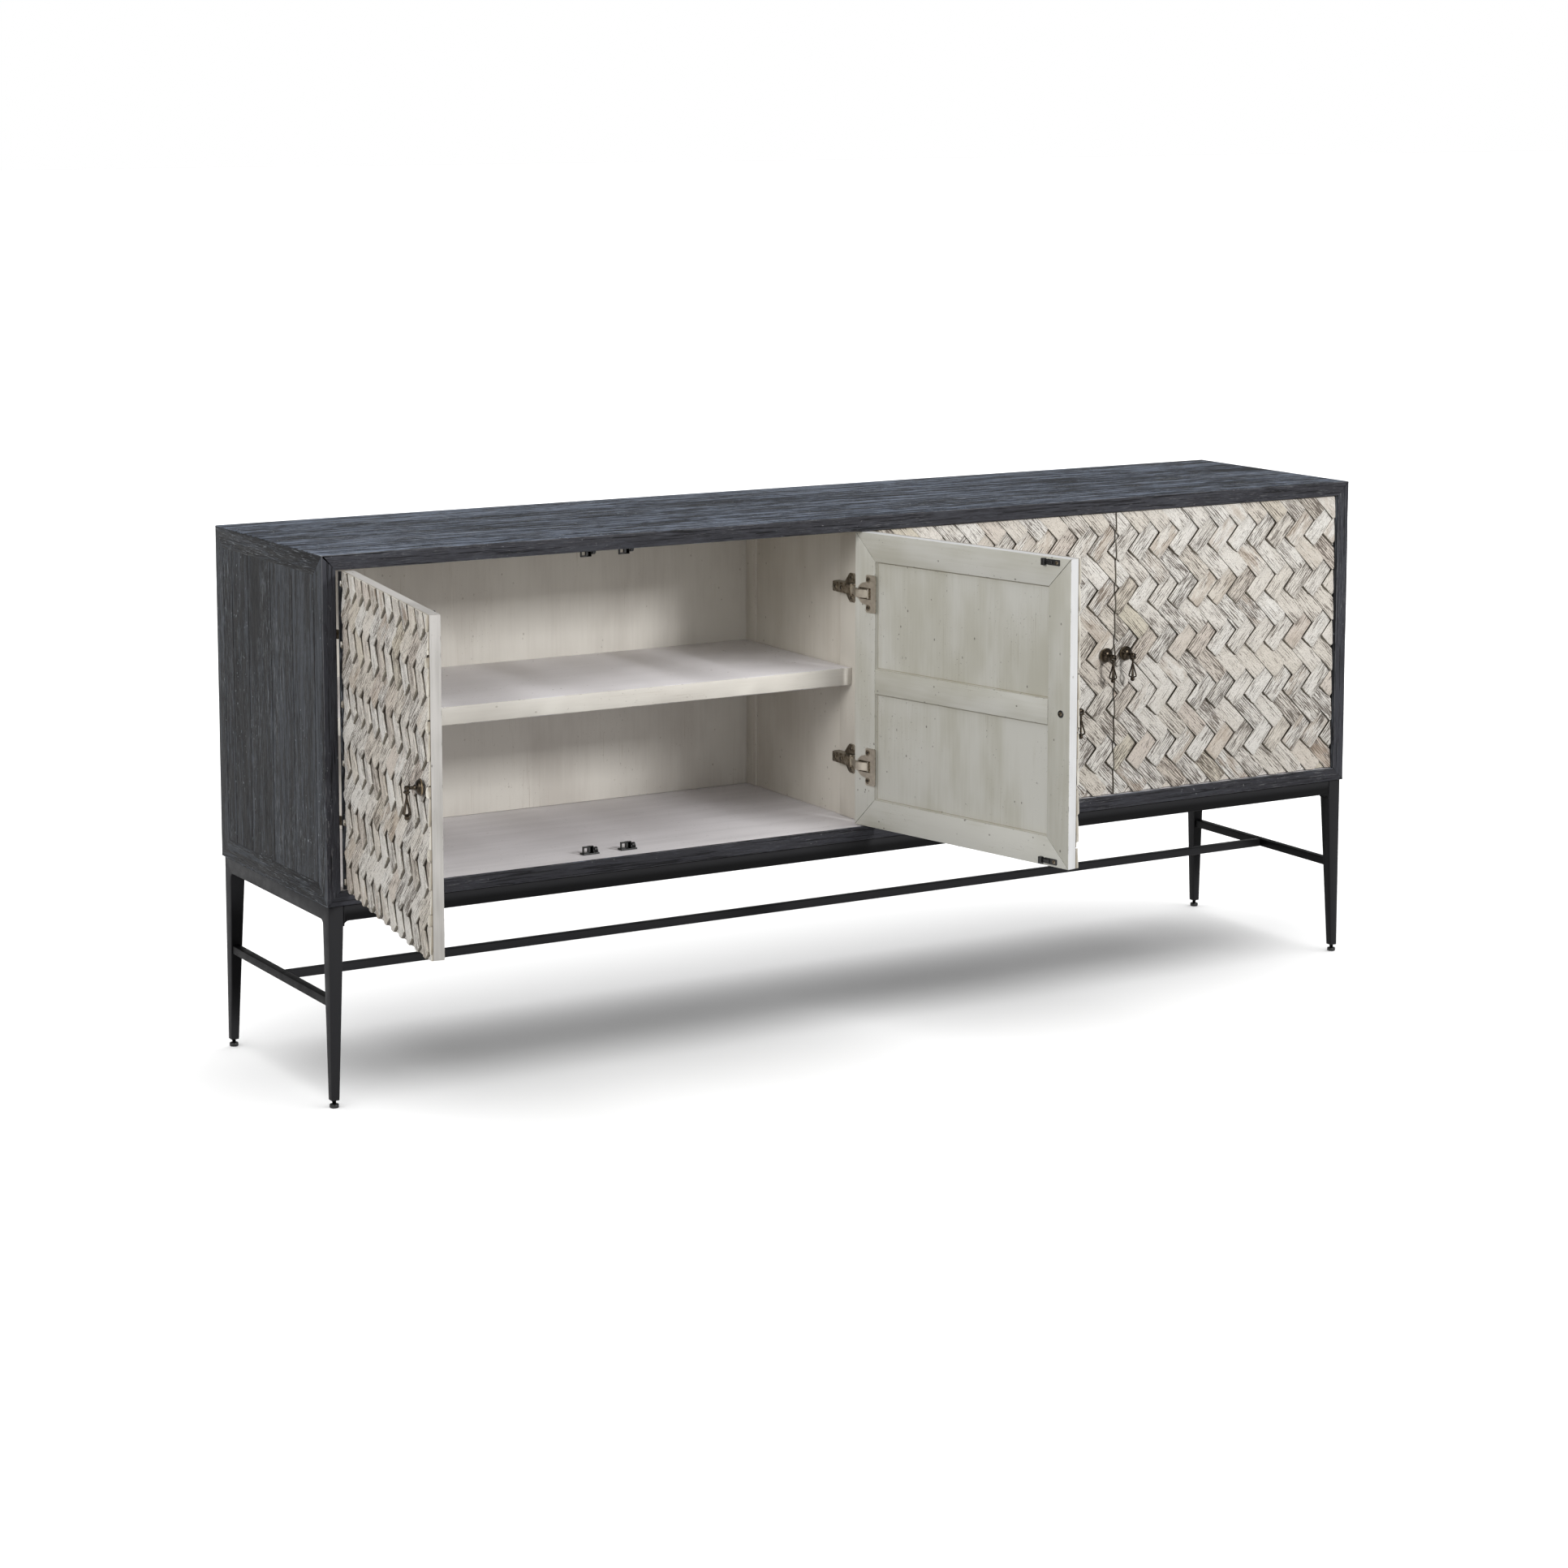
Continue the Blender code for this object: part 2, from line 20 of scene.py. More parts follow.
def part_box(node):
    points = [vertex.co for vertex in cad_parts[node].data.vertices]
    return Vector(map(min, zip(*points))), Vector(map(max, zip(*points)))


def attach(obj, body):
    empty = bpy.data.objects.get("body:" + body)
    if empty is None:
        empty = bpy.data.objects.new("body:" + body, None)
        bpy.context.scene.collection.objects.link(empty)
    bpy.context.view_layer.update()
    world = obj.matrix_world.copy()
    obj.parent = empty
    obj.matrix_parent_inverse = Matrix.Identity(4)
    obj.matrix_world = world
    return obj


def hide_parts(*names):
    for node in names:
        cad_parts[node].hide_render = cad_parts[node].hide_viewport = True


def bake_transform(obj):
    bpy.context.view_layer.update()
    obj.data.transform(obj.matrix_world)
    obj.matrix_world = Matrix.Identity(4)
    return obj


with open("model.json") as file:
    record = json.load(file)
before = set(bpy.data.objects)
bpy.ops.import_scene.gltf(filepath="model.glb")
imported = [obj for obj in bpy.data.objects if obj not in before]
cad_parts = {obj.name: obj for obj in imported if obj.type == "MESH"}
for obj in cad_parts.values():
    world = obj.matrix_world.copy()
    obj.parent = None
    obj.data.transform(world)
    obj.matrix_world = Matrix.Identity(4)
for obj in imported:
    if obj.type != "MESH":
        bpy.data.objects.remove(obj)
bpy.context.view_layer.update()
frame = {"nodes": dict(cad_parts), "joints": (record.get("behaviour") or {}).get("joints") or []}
NODES = frame["nodes"]
JOINTS = {joint["child"]: joint for joint in frame["joints"]}

TOP_LO, TOP_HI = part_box("top_panel")
CASE_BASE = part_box("bottom_panel")[0].z
SIDE_LO, SIDE_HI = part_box("left_side_panel")
BACK_LO, BACK_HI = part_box("back_panel")
WALL_LO, WALL_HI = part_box("centre_partition")
FRONT = TOP_LO.y
CENTRE_X = (TOP_LO.x + TOP_HI.x) / 2
SIDE_THICK = SIDE_HI.x - SIDE_LO.x
SIDE_IN = TOP_HI.x - CENTRE_X - SIDE_THICK
FRAME_LO, FRAME_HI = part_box("right_outer_door_frame")
FACE_LO, FACE_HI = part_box("right_outer_door_facing")
DOOR_WIDTH = FACE_HI.x - FACE_LO.x
DOOR_LO_Z, DOOR_HI_Z = FACE_LO.z, FACE_HI.z
DOOR_FRONT, DOOR_BACK = FACE_LO.y, FRAME_HI.y
FACING_THICK = FRAME_LO.y - DOOR_FRONT
DOOR_NAMES = ("left_outer", "left_inner", "right_inner", "right_outer")
DOOR_SIDE = {"left_outer": -1, "left_inner": 1, "right_inner": -1, "right_outer": 1}
SHUT_AT = {
    "left_outer": JOINTS["left_outer_door"]["range_deg"][1],
    "left_inner": JOINTS["left_inner_door"]["range_deg"][0],
    "right_inner": 0.0,
    "right_outer": 0.0,
}
HINGE_Z = (DOOR_LO_Z + 0.1035, DOOR_HI_Z - 0.1035)
CUP_IN = 0.0255  # a hinge cup's centre, in from the door's hinge edge
CUP_BORE = 0.0176
CUP_DEEP = 0.0112
PULL_IN = 0.0195  # a pull's axis, in from the door's free edge
PULL_OUT = 0.0213  # a pendant's pin, out from the facing
STILE = 0.048
MID_RAIL = 0.042
PAINT_FROM = 0.0045  # the inner faces are painted from here back, and stained in front of it
WHOLE = 9.0  # a lattice step larger than any part, so the lattice has no lines between its rounded edges


# ---------------------------------------------------------------- numbers


def srgb(red, green, blue):
    """A linear colour from 0 to 255 display values."""
    linear = []
    for value in (red, green, blue):
        value /= 255
        linear.append(value / 12.92 if value <= 0.04045 else ((value + 0.055) / 1.055) ** 2.4)
    return (*linear, 1.0)


def wobble(points, size, seed):
    """A smooth random height in -1..1 at each point, of features about size across."""
    rng = np.random.default_rng(seed)
    total = np.zeros(len(points))
    for _ in range(7):
        direction = rng.normal(size=3)
        direction /= np.linalg.norm(direction)
        rate = 2 * math.pi / (size * rng.uniform(0.7, 1.9))
        total += np.sin(points @ direction * rate + rng.uniform(0, 6.28))
    return total / 4.2


def placed(points, faces, matrix):
    """Points moved by a 4x4 matrix, and their faces, turned over where it mirrors."""
    matrix = np.array(matrix)
    if np.linalg.det(matrix[:3, :3]) < 0:
        faces = [face[::-1] for face in faces]
    return points @ matrix[:3, :3].T + matrix[:3, 3], faces


def axes(x, y, z, origin=(0, 0, 0)):
    """The matrix that carries the local axes onto three given directions at an origin."""
    matrix = Matrix((Vector(x), Vector(y), Vector(z))).transposed().to_4x4()
    matrix.translation = Vector(origin)
    return matrix


def linked(name, data):
    """A new object in the scene."""
    made = bpy.data.objects.new(name, data)
    bpy.context.scene.collection.objects.link(made)
    return made


def fill_ramp(node, stops):
    """Sets a colour ramp node's stops, which are (position, colour)."""
    items = node.color_ramp.elements
    while len(items) < len(stops):
        items.new(0.5)
    for item, (position, colour) in zip(items, stops):
        item.position = position
        item.color = colour


def random_tint(rng):
    return rng.random(), rng.random(), rng.random()


def random_shift(rng, *reach):
    """A random place in the noise, so that no two boards share their grain."""
    return tuple(rng.uniform(0, most) for most in reach or (9, 9, 9))


# ---------------------------------------------------------------- shapes: each gives (points, faces, edge)


def walls(rings, size, inward=False, capped=False):
    """The faces between rings of size points each, one ring after another. capped closes both ends."""
    faces = []
    for ring in range(rings - 1):
        for i in range(size):
            a, b = ring * size + i, ring * size + (i + 1) % size
            faces.append([a, a + size, b + size, b] if inward else [a, b, b + size, a + size])
    if capped:
        last = (rings - 1) * size
        caps = list(range(size))[::-1], list(range(last, last + size))
        faces += [cap[::-1] for cap in caps] if inward else caps
    return faces


def lattice_lines(low, high, radius, step):
    """Lattice lines from low to high: three for each rounded edge, and even steps between."""
    inner = max(1, int(round((high - low - 2 * radius) / step)))
    between = np.linspace(low + radius, high - radius, inner + 1)
    rim = 0.586 * radius
    return np.concatenate([[low, low + rim], between, [high - rim, high]])


def rounded_box(low, high, radius, step=(WHOLE, WHOLE, WHOLE)):
    """A box with its edges rounded, on a lattice that can be bent afterwards."""
    lattice = [lattice_lines(low[i], high[i], radius, step[i]) for i in range(3)]
    counts = [len(axis) for axis in lattice]
    grid = np.stack(np.meshgrid(*lattice, indexing="ij"), -1)
    place = np.indices(counts)
    skin = np.zeros(counts, bool)
    for i in range(3):
        skin |= (place[i] == 0) | (place[i] == counts[i] - 1)
    index = np.full(counts, -1)
    index[skin] = np.arange(skin.sum())
    points = grid[skin]
    low, high = np.array(low, float), np.array(high, float)
    core = np.clip(points, low + radius, high - radius)
    away = points - core
    near = np.sort(np.minimum(points - low, high - points), axis=1)[:, 1]
    edge = np.clip(1 - near / radius, 0, 1)
    length = np.linalg.norm(away, axis=1, keepdims=True)
    points = core + away / np.maximum(length, 1e-12) * radius
    faces = []
    for i in range(3):
        for end in (0, 1):
            sheet = np.take(index, -end, axis=i)
            if (i == 1) != (end == 1):
                sheet = sheet.T
            corners = sheet[:-1, :-1], sheet[:-1, 1:], sheet[1:, 1:], sheet[1:, :-1]
            faces += np.stack(corners, -1).reshape(-1, 4).tolist()
    return points, faces, edge


def prism(outline, low, high, radius=0.0, rim=None):
    """An outline in x and y (counter-clockwise), from z low to z high, its upper edge rounded inwards.

    rim is the edge fact of all its walls, in place of a worn upper edge."""
    outline = np.array(outline, float)
    count = len(outline)
    before, after = np.roll(outline, 1, 0), np.roll(outline, -1, 0)
    first, second = outline - before, after - outline
    first /= np.linalg.norm(first, axis=1, keepdims=True)
    second /= np.linalg.norm(second, axis=1, keepdims=True)
    normal = np.stack([-(first[:, 1] + second[:, 1]), first[:, 0] + second[:, 0]], 1)
    cosine = np.sum(first * second, 1, keepdims=True)
    inward = normal / np.maximum(1 + cosine, 0.2)
    levels, edges = [(0.0, low), (0.0, high)], [0.0, 0.0]
    if radius:
        bevel = 0.293 * radius
        levels = [(0.0, low), (0.0, high - radius), (bevel, high - bevel), (radius, high)]
        edges = [0.0, 0.3, 1.0, 0.25]
    if rim is not None:
        edges = [rim] * (len(levels) - 1) + [rim * 0.4]
    points = [np.column_stack([outline + inward * inset, np.full(count, z)]) for inset, z in levels]
    top = (len(levels) - 1) * count
    faces = [list(range(count))[::-1]] + walls(len(levels), count) + [list(range(top, top + count))]
    return np.concatenate(points), faces, np.repeat(edges, count)


def lathe(profile, sides=32):
    """A turned shape about z from (radius, z) points, from its lower end up its outside to its upper end."""
    angles = np.arange(sides) * 2 * math.pi / sides
    points, faces, rings = [], [], []
    for radius, z in profile:
        if radius < 1e-7:
            rings.append([len(points)] * sides)
            points.append((0.0, 0.0, z))
        else:
            rings.append(list(range(len(points), len(points) + sides)))
            points += [(radius * math.cos(a), radius * math.sin(a), z) for a in angles]
    for lower, upper in zip(rings, rings[1:]):
        for i in range(sides):
            j = (i + 1) % sides
            corners = [lower[i], lower[j], upper[j], upper[i]]
            face = [c for k, c in enumerate(corners) if c not in corners[:k]]
            if len(face) > 2:
                faces.append(face)
    return np.array(points, float), faces, np.zeros(len(points))


def heading(path, i):
    """The direction in which a path of points runs at one of them."""
    return (path[min(i + 1, len(path) - 1)] - path[max(i - 1, 0)]).normalized()


def tube(path, radius, sides=10):
    """A round rod along a path, with closed ends."""
    path = [Vector(p) for p in path]
    points = []
    reference = Vector((0.31, 0.87, 0.38)).normalized()
    for i, at in enumerate(path):
        ahead = heading(path, i)
        across = ahead.cross(reference).normalized()
        up = across.cross(ahead)
        for k in range(sides):
            a = 2 * math.pi * k / sides
            points.append(at + across * (radius * math.cos(a)) + up * (radius * math.sin(a)))
    faces = walls(len(path), sides, inward=True, capped=True)
    return np.array([tuple(p) for p in points]), faces, np.zeros(len(points))


# ---------------------------------------------------------------- pieces


class Piece:
    """Shapes collected into one mesh object, with the facts that its materials read."""

    def __init__(self, name, materials):
        self.name = name
        self.materials = materials
        self.points, self.faces, self.slots = [], [], []
        self.grain, self.tint, self.edge = [], [], []
        self.count = 0

    def add(self, shape, slot=0, along=0, tint=(0.5, 0.5, 0.5), matrix=None, shift=None, grain=None):
        """One shape. along is the axis that its fibres run on, before the matrix places it."""
        points, faces, edges = shape
        points = np.array(points, float)
        if grain is None:
            grain = points[:, [along, (along + 1) % 3, (along + 2) % 3]]
        if shift is not None:
            grain = grain + np.array(shift)
        if matrix is not None:
            points, faces = placed(points, faces, matrix)
        self.points.append(points)
        self.faces += [[index + self.count for index in face] for face in faces]
        self.slots += list(slot) if hasattr(slot, "__len__") else [slot] * len(faces)
        self.grain.append(grain)
        self.tint.append(np.tile(tint, (len(points), 1)) if np.ndim(tint) == 1 else tint)
        self.edge.append(np.array(edges, float))
        self.count += len(points)

    def finish(self, body, slot, replaces=(), matrix=None, smooth=35):
        """The mesh object, riding a body unless that is None."""
        mesh = bpy.data.meshes.new(self.name)
        mesh.from_pydata(np.concatenate(self.points).tolist(), [], self.faces)
        for material in self.materials:
            mesh.materials.append(material)
        mesh.polygons.foreach_set("material_index", np.array(self.slots, np.int32))
        for name, values in (("grain", self.grain), ("tint", self.tint)):
            fact = mesh.attributes.new(name, "FLOAT_VECTOR", "POINT")
            fact.data.foreach_set("vector", np.concatenate(values).astype(np.float32).ravel())
        fact = mesh.attributes.new("edge", "FLOAT", "POINT")
        fact.data.foreach_set("value", np.concatenate(self.edge).astype(np.float32))
        mesh.update()
        mesh.validate()
        mesh.shade_smooth()
        mesh.set_sharp_from_angle(angle=math.radians(smooth))
        piece = linked(self.name, mesh)
        if matrix is not None:
            piece.matrix_world = matrix
        if body is not None:
            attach(piece, body)
        if replaces:
            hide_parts(*replaces)
        return piece


# ---------------------------------------------------------------- materials


class Look:
    """A Principled material and short ways to wire its nodes."""

    def __init__(self, name, **sockets):
        self.material = bpy.data.materials.new(name)
        self.material.use_nodes = True
        self.tree = self.material.node_tree
        self.shader = self.tree.nodes["Principled BSDF"]
        for key, value in sockets.items():
            self.shader.inputs[key.replace("_", " ")].default_value = value

    def node(self, kind, settings, inputs=()):
        made = self.tree.nodes.new("ShaderNode" + kind)
        for key, value in dict(settings).items():
            setattr(made, key, value)
        for key, value in dict(inputs).items():
            self.put(made.inputs[key], value)
        return made

    def put(self, socket, value):
        if isinstance(value, bpy.types.NodeSocket):
            self.tree.links.new(value, socket)
        else:
            socket.default_value = value

    def fact(self, name, output="Fac"):
        return self.node("Attribute", {"attribute_name": name}).outputs[output]

    def facts(self):
        """grain, tint and edge."""
        return self.fact("grain", "Vector"), self.fact("tint", "Vector"), self.fact("edge")

    def part(self, vector, axis):
        return self.node("SeparateXYZ", (), {"Vector": vector}).outputs[axis]

    def stretch(self, grain, along, across, shift=(0, 0, 0)):
        inputs = {"Vector": grain, "Scale": (along, across, across), "Location": shift}
        return self.node("Mapping", (), inputs).outputs[0]

    def noise(self, grain, along, across, detail, rough, shift=(0, 0, 0), distortion=0.0):
        """Noise with so many features to the metre along the fibres and across them."""
        inputs = {"Vector": self.stretch(grain, along, across, shift), "Scale": 1.0, "Detail": detail}
        inputs.update({"Roughness": rough, "Distortion": distortion})
        return self.node("TexNoise", (), inputs).outputs[0]

    def cells(self, grain, along, across):
        inputs = {"Vector": self.stretch(grain, along, across), "Scale": 1.0}
        return self.node("TexVoronoi", (), inputs).outputs["Distance"]

    def math(self, how, first, second=0.0):
        node = self.node("Math", {"operation": how})
        for socket, value in zip(node.inputs, (first, second)):
            self.put(socket, value)
        return node.outputs[0]

    def times(self, first, second):
        return self.math("MULTIPLY", first, second)

    def plus(self, first, second):
        return self.math("ADD", first, second)

    def minus(self, first, second):
        return self.math("SUBTRACT", first, second)

    def total(self, *terms):
        """The sum of values, each times its weight."""
        value = self.times(*terms[0])
        for term in terms[1:]:
            value = self.plus(value, self.times(*term))
        return value

    def vary(self, value, tint, amount):
        """A value that differs a little from board to board."""
        return self.plus(value, self.times(self.minus(self.part(tint, 0), 0.5), amount))

    def level(self, value, low, high, to_low=0.0, to_high=1.0):
        node = self.node("MapRange", {"clamp": True, "interpolation_type": "SMOOTHSTEP"})
        for socket, item in zip(node.inputs, (value, low, high, to_low, to_high)):
            self.put(socket, item)
        return node.outputs[0]

    def mix(self, factor, first, second):
        node = self.node("Mix", {"data_type": "RGBA"})
        self.put(node.inputs[0], factor)
        self.put(node.inputs[6], first)
        self.put(node.inputs[7], second)
        return node.outputs[2]

    def cover(self, colour, mask, share, over):
        """A colour with a share of another over it, where the mask is 1."""
        return self.mix(self.times(mask, share), colour, over)

    def ramp(self, value, stops):
        node = self.node("ValToRGB", (), {"Fac": value})
        fill_ramp(node, stops)
        return node.outputs[0]

    def bump(self, height, strength, distance, normal=None):
        inputs = {"Height": height, "Strength": strength, "Distance": distance}
        if normal is not None:
            inputs["Normal"] = normal
        return self.node("Bump", (), inputs).outputs[0]

    def wear(self, colour, roughness, normal):
        """The material, with its shader given these."""
        for key, value in (("Base Color", colour), ("Roughness", roughness), ("Normal", normal)):
            self.put(self.shader.inputs[key], value)
        return self.material


def stained_wood(name, *colours):
    """Rough pine under a dark stain: streaks along the grain, pale scratches and pits, rubbed edges.

    The colours are the stain's deep, middle and light tones, and the rubbed wood."""
    deep, middle, light, rub = (srgb(*colour) for colour in colours)
    look = Look(name, Specular_IOR_Level=0.16)
    grain, tint, edge = look.facts()
    broad = look.noise(grain, 3.2, 24, 5.0, 0.66, distortion=0.4)
    streak = look.noise(grain, 13.0, 120, 5.0, 0.72, distortion=0.5)
    fibre = look.noise(grain, 44.0, 520, 4.0, 0.7)
    rings = look.times(look.noise(grain, 0.9, 9, 2.0, 0.5), 26.0)
    rings = look.math("SINE", look.plus(rings, look.times(look.part(grain, 1), 260.0)))
    shade = look.total((broad, 0.24), (streak, 0.44), (fibre, 0.32), (rings, 0.022))
    shade = look.vary(shade, tint, 0.05)
    colour = look.ramp(look.level(shade, 0.44, 0.56), [(0.0, deep), (0.5, middle), (1.0, light)])
    crack = look.level(look.noise(grain, 9.0, 300, 3.0, 0.6, (0, 6.1, 2.3), 0.3), 0.57, 0.64)
    colour = look.cover(colour, crack, 0.8, srgb(9, 9, 11))
    scratch = look.noise(grain, 30.0, 460, 4.0, 0.75, (3.1, 0, 0))
    patch = look.noise(grain, 3.0, 12, 2.0, 0.5, (0, 7.7, 0))
    pale = look.times(look.level(scratch, 0.56, 0.64), look.level(patch, 0.42, 0.58))
    colour = look.cover(colour, pale, 0.55, rub)
    worn = look.noise(grain, 30, 60, 4.0, 0.65, (0, 0, 4.2))
    worn = look.times(look.level(worn, 0.36, 0.56), look.level(edge, 0.45, 0.95))
    colour = look.cover(colour, worn, 0.6, rub)
    pit = look.noise(grain, 150, 300, 2.0, 0.5, (2, 2, 5))
    where = look.noise(grain, 7, 18, 1.0, 0.5, (6, 1, 0))
    pit = look.times(look.level(pit, 0.69, 0.73), look.level(where, 0.50, 0.58))
    colour = look.cover(colour, pit, 0.85, rub)
    colour = look.cover(colour, look.level(edge, -0.1, -0.9), 0.85, srgb(10, 10, 12))
    height = look.minus(look.total((streak, 0.5), (fibre, 0.5)), look.times(crack, 0.5))
    normal = look.bump(height, 1.0, 0.0018, look.bump(scratch, 0.4, 0.0008))
    return look.wear(colour, look.level(streak, 0.3, 0.7, 0.52, 0.72), normal)


def painted_wood(name, *colours, streaks, chips=1.0):
    """Brushed paint over wood, with faint brush marks, specks, chipped edges, and glaze with painted shade
    in seams and recesses.

    The colours are the paint, its shadowy parts, the dirt that also serves as painted shade, and what shows
    where it is chipped."""
    base, shadow, grime_and_shade, chip = (srgb(*colour) for colour in colours)
    look = Look(name, Specular_IOR_Level=0.35)
    grain, tint, edge = look.facts()
    cloud = look.noise(grain, 4, 9, 3.0, 0.55)
    brush = look.noise(grain, 9, 170, 4.0, 0.62)
    shade = look.vary(look.total((cloud, 0.8), (brush, 0.2)), tint, 0.10)
    colour = look.mix(look.level(shade, 0.34, 0.62), shadow, base)
    drag = look.noise(grain, 9, 420, 4.0, 0.7, (5.5, 0, 0))
    where = look.noise(grain, 5, 16, 2.0, 0.5, (0, 2.2, 0))
    mark = look.times(look.level(drag, 0.58, 0.74), look.level(where, 0.46, 0.66))
    colour = look.cover(colour, mark, streaks, grime_and_shade)
    speck = look.cells(grain, 55, 75)
    chosen = look.noise(grain, 21, 21, 1.0, 0.5, (9, 9, 9))
    speck = look.times(look.level(speck, 0.15, 0.08), look.level(chosen, 0.55, 0.62))
    colour = look.cover(colour, speck, 0.8 * chips, chip)
    nick = look.noise(grain, 210, 300, 3.0, 0.6, (4, 4, 8))
    nick = look.times(look.level(nick, 0.66, 0.70), look.level(where, 0.52, 0.62))
    colour = look.cover(colour, nick, 0.7 * chips, chip)
    ragged = look.noise(grain, 75, 120, 5.0, 0.7, (1, 2, 3))
    gone = look.times(look.level(ragged, 0.57, 0.63), look.level(edge, 0.3, 0.8))
    colour = look.cover(colour, gone, 0.8 * chips, chip)
    # painted shade with some glaze: darker where the edge fact is below 0, in seams, recesses and on the
    # blocks' walls
    colour = look.cover(colour, look.level(edge, -0.05, -1.0), 0.85, grime_and_shade)
    height = look.minus(brush, look.times(look.math("MAXIMUM", speck, gone), 1.5))
    return look.wear(colour, look.level(cloud, 0.3, 0.7, 0.46, 0.6), look.bump(height, 0.22, 0.0006))


def washed_blocks(name):
    """Rough pine blocks under a thin white wash: dark grain lines, some blocks tan or pink, dark cut ends,
    and painted shade on their walls.

    A block's tint is its hue, how dark its grain is and how bare it is."""
    look = Look(name, Specular_IOR_Level=0.25)
    grain, tint, edge = look.facts()
    hue, depth, bare = look.part(tint, 0), look.part(tint, 1), look.part(tint, 2)
    hues = ((224, 221, 215), (219, 214, 206), (214, 207, 196), (208, 198, 188), (208, 201, 184))
    base = look.ramp(hue, [(at, srgb(*colour)) for at, colour in zip((0.0, 0.40, 0.72, 0.90, 1.0), hues)])
    cloud = look.noise(grain, 22, 60, 3.0, 0.6)
    base = look.mix(look.level(cloud, 0.45, 0.75, 0.0, 0.30), base, srgb(184, 176, 162))
    speckle = look.noise(grain, 420, 560, 3.0, 0.7, (1, 8, 3))
    base = look.mix(look.level(speckle, 0.50, 0.62, 0.0, 0.46), base, srgb(136, 125, 114))
    bend = look.noise(grain, 11, 60, 2.0, 0.5)
    across = look.plus(look.part(grain, 1), look.times(bend, 0.010))
    wave = look.math("SINE", look.times(across, 1700.0))
    line = look.noise(grain, 36, 620, 4.0, 0.75, distortion=0.5)
    fine = look.noise(grain, 90, 1500, 3.0, 0.65)
    patchy = look.noise(grain, 26, 70, 2.0, 0.5, (2, 5, 1))
    groove = look.total((line, 0.70), (fine, 0.20), (patchy, 0.22), (wave, 0.035))
    low = look.minus(0.638, look.times(depth, 0.100))
    dark = look.level(groove, low, look.plus(low, 0.035))
    colour = look.cover(base, dark, 0.88, srgb(80, 70, 62))
    tan = look.times(look.level(cloud, 0.44, 0.60), look.level(bare, 0.72, 0.96))
    colour = look.cover(colour, tan, 0.36, srgb(166, 145, 124))
    colour = look.cover(colour, look.level(edge, 0.15, 0.9), 0.30, srgb(222, 216, 203))
    # painted shade: the blocks' walls darken downwards, darkest at the foot where they meet the next block
    colour = look.cover(colour, look.level(edge, -0.05, -0.45), 0.85, srgb(100, 93, 82))
    colour = look.mix(look.level(edge, -0.5, -1.0), colour, srgb(48, 42, 36))
    normal = look.bump(look.minus(1.0, groove), 1.0, 0.0022)
    return look.wear(colour, look.level(line, 0.3, 0.7, 0.66, 0.86), normal)


def metal(name, *colours, roughness, metallic, scale, relief, shine=0.5):
    """Metal with a cloudy patina and rubbed edges; on the steel, the lighter edges are also a painted
    highlight.

    The colours are the metal, where it is rubbed (on the steel, rub and painted highlight), and its dark
    patches."""
    base, worn, dark = (srgb(*colour) for colour in colours)
    look = Look(name, Metallic=metallic, Specular_IOR_Level=shine)
    grain, edge = look.fact("grain", "Vector"), look.fact("edge")
    cloud = look.noise(grain, scale, scale, 4.0, 0.6)
    brushed = look.noise(grain, scale * 0.3, scale * 14, 3.0, 0.6)
    colour = look.mix(look.level(cloud, 0.35, 0.65), dark, base)
    colour = look.cover(colour, look.level(edge, 0.3, 0.9), 0.6, worn)
    both = look.total((cloud, 0.5), (brushed, 0.5))
    rough = look.level(both, 0.3, 0.7, roughness - 0.09, roughness + 0.11)
    return look.wear(colour, rough, look.bump(brushed, relief, 0.0004))


def moulded(name, colour, roughness):
    """Moulded plastic with a fine texture and scuffs."""
    look = Look(name)
    grain, edge = look.fact("grain", "Vector"), look.fact("edge")
    cloud = look.noise(grain, 90, 90, 3.0, 0.6)
    fine = look.noise(grain, 1500, 1500, 2.0, 0.5)
    base = srgb(*colour)
    pale = tuple(min(1.0, value * 2.6 + 0.006) for value in base[:3]) + (1.0,)
    colour = look.mix(look.level(cloud, 0.5, 0.8, 0.0, 0.3), base, pale)
    colour = look.cover(colour, look.level(edge, 0.3, 1.0), 0.4, pale)
    rough = look.level(cloud, 0.3, 0.7, roughness - 0.06, roughness + 0.1)
    return look.wear(colour, rough, look.bump(fine, 0.15, 0.0003))


STAIN = stained_wood("charcoal_stained_pine", (22, 24, 29), (60, 66, 77), (116, 125, 140), (188, 194, 202))
# A darker copy of the charcoal stain for the case's ends, the back's rear and the hinge-side strip: painted
# shade, standing in for the shade on the ends.
STAIN_SHADED = stained_wood("charcoal_side_pine_painted_shade", (4, 4, 6), (20, 21, 24), (62, 65, 70), (150, 155, 160))
STAIN_EDGE = stained_wood("charcoal_front_edge", (42, 42, 46), (48, 48, 53), (56, 57, 62), (112, 112, 114))
INSIDE = painted_wood(
    "greige_inside_paint", (211, 207, 199), (197, 192, 184), (150, 136, 118), (112, 100, 88),
    streaks=0.55, chips=0.5,
)
# A darker copy of the inside paint for the partition: painted shade, as the partition stands in shade.
PARTITION_PAINT_SHADED = painted_wood(
    "greige_partition_paint_painted_shade", (206, 201, 191), (193, 187, 176), (146, 134, 114), (108, 98, 86),
    streaks=0.55, chips=0.6,
)
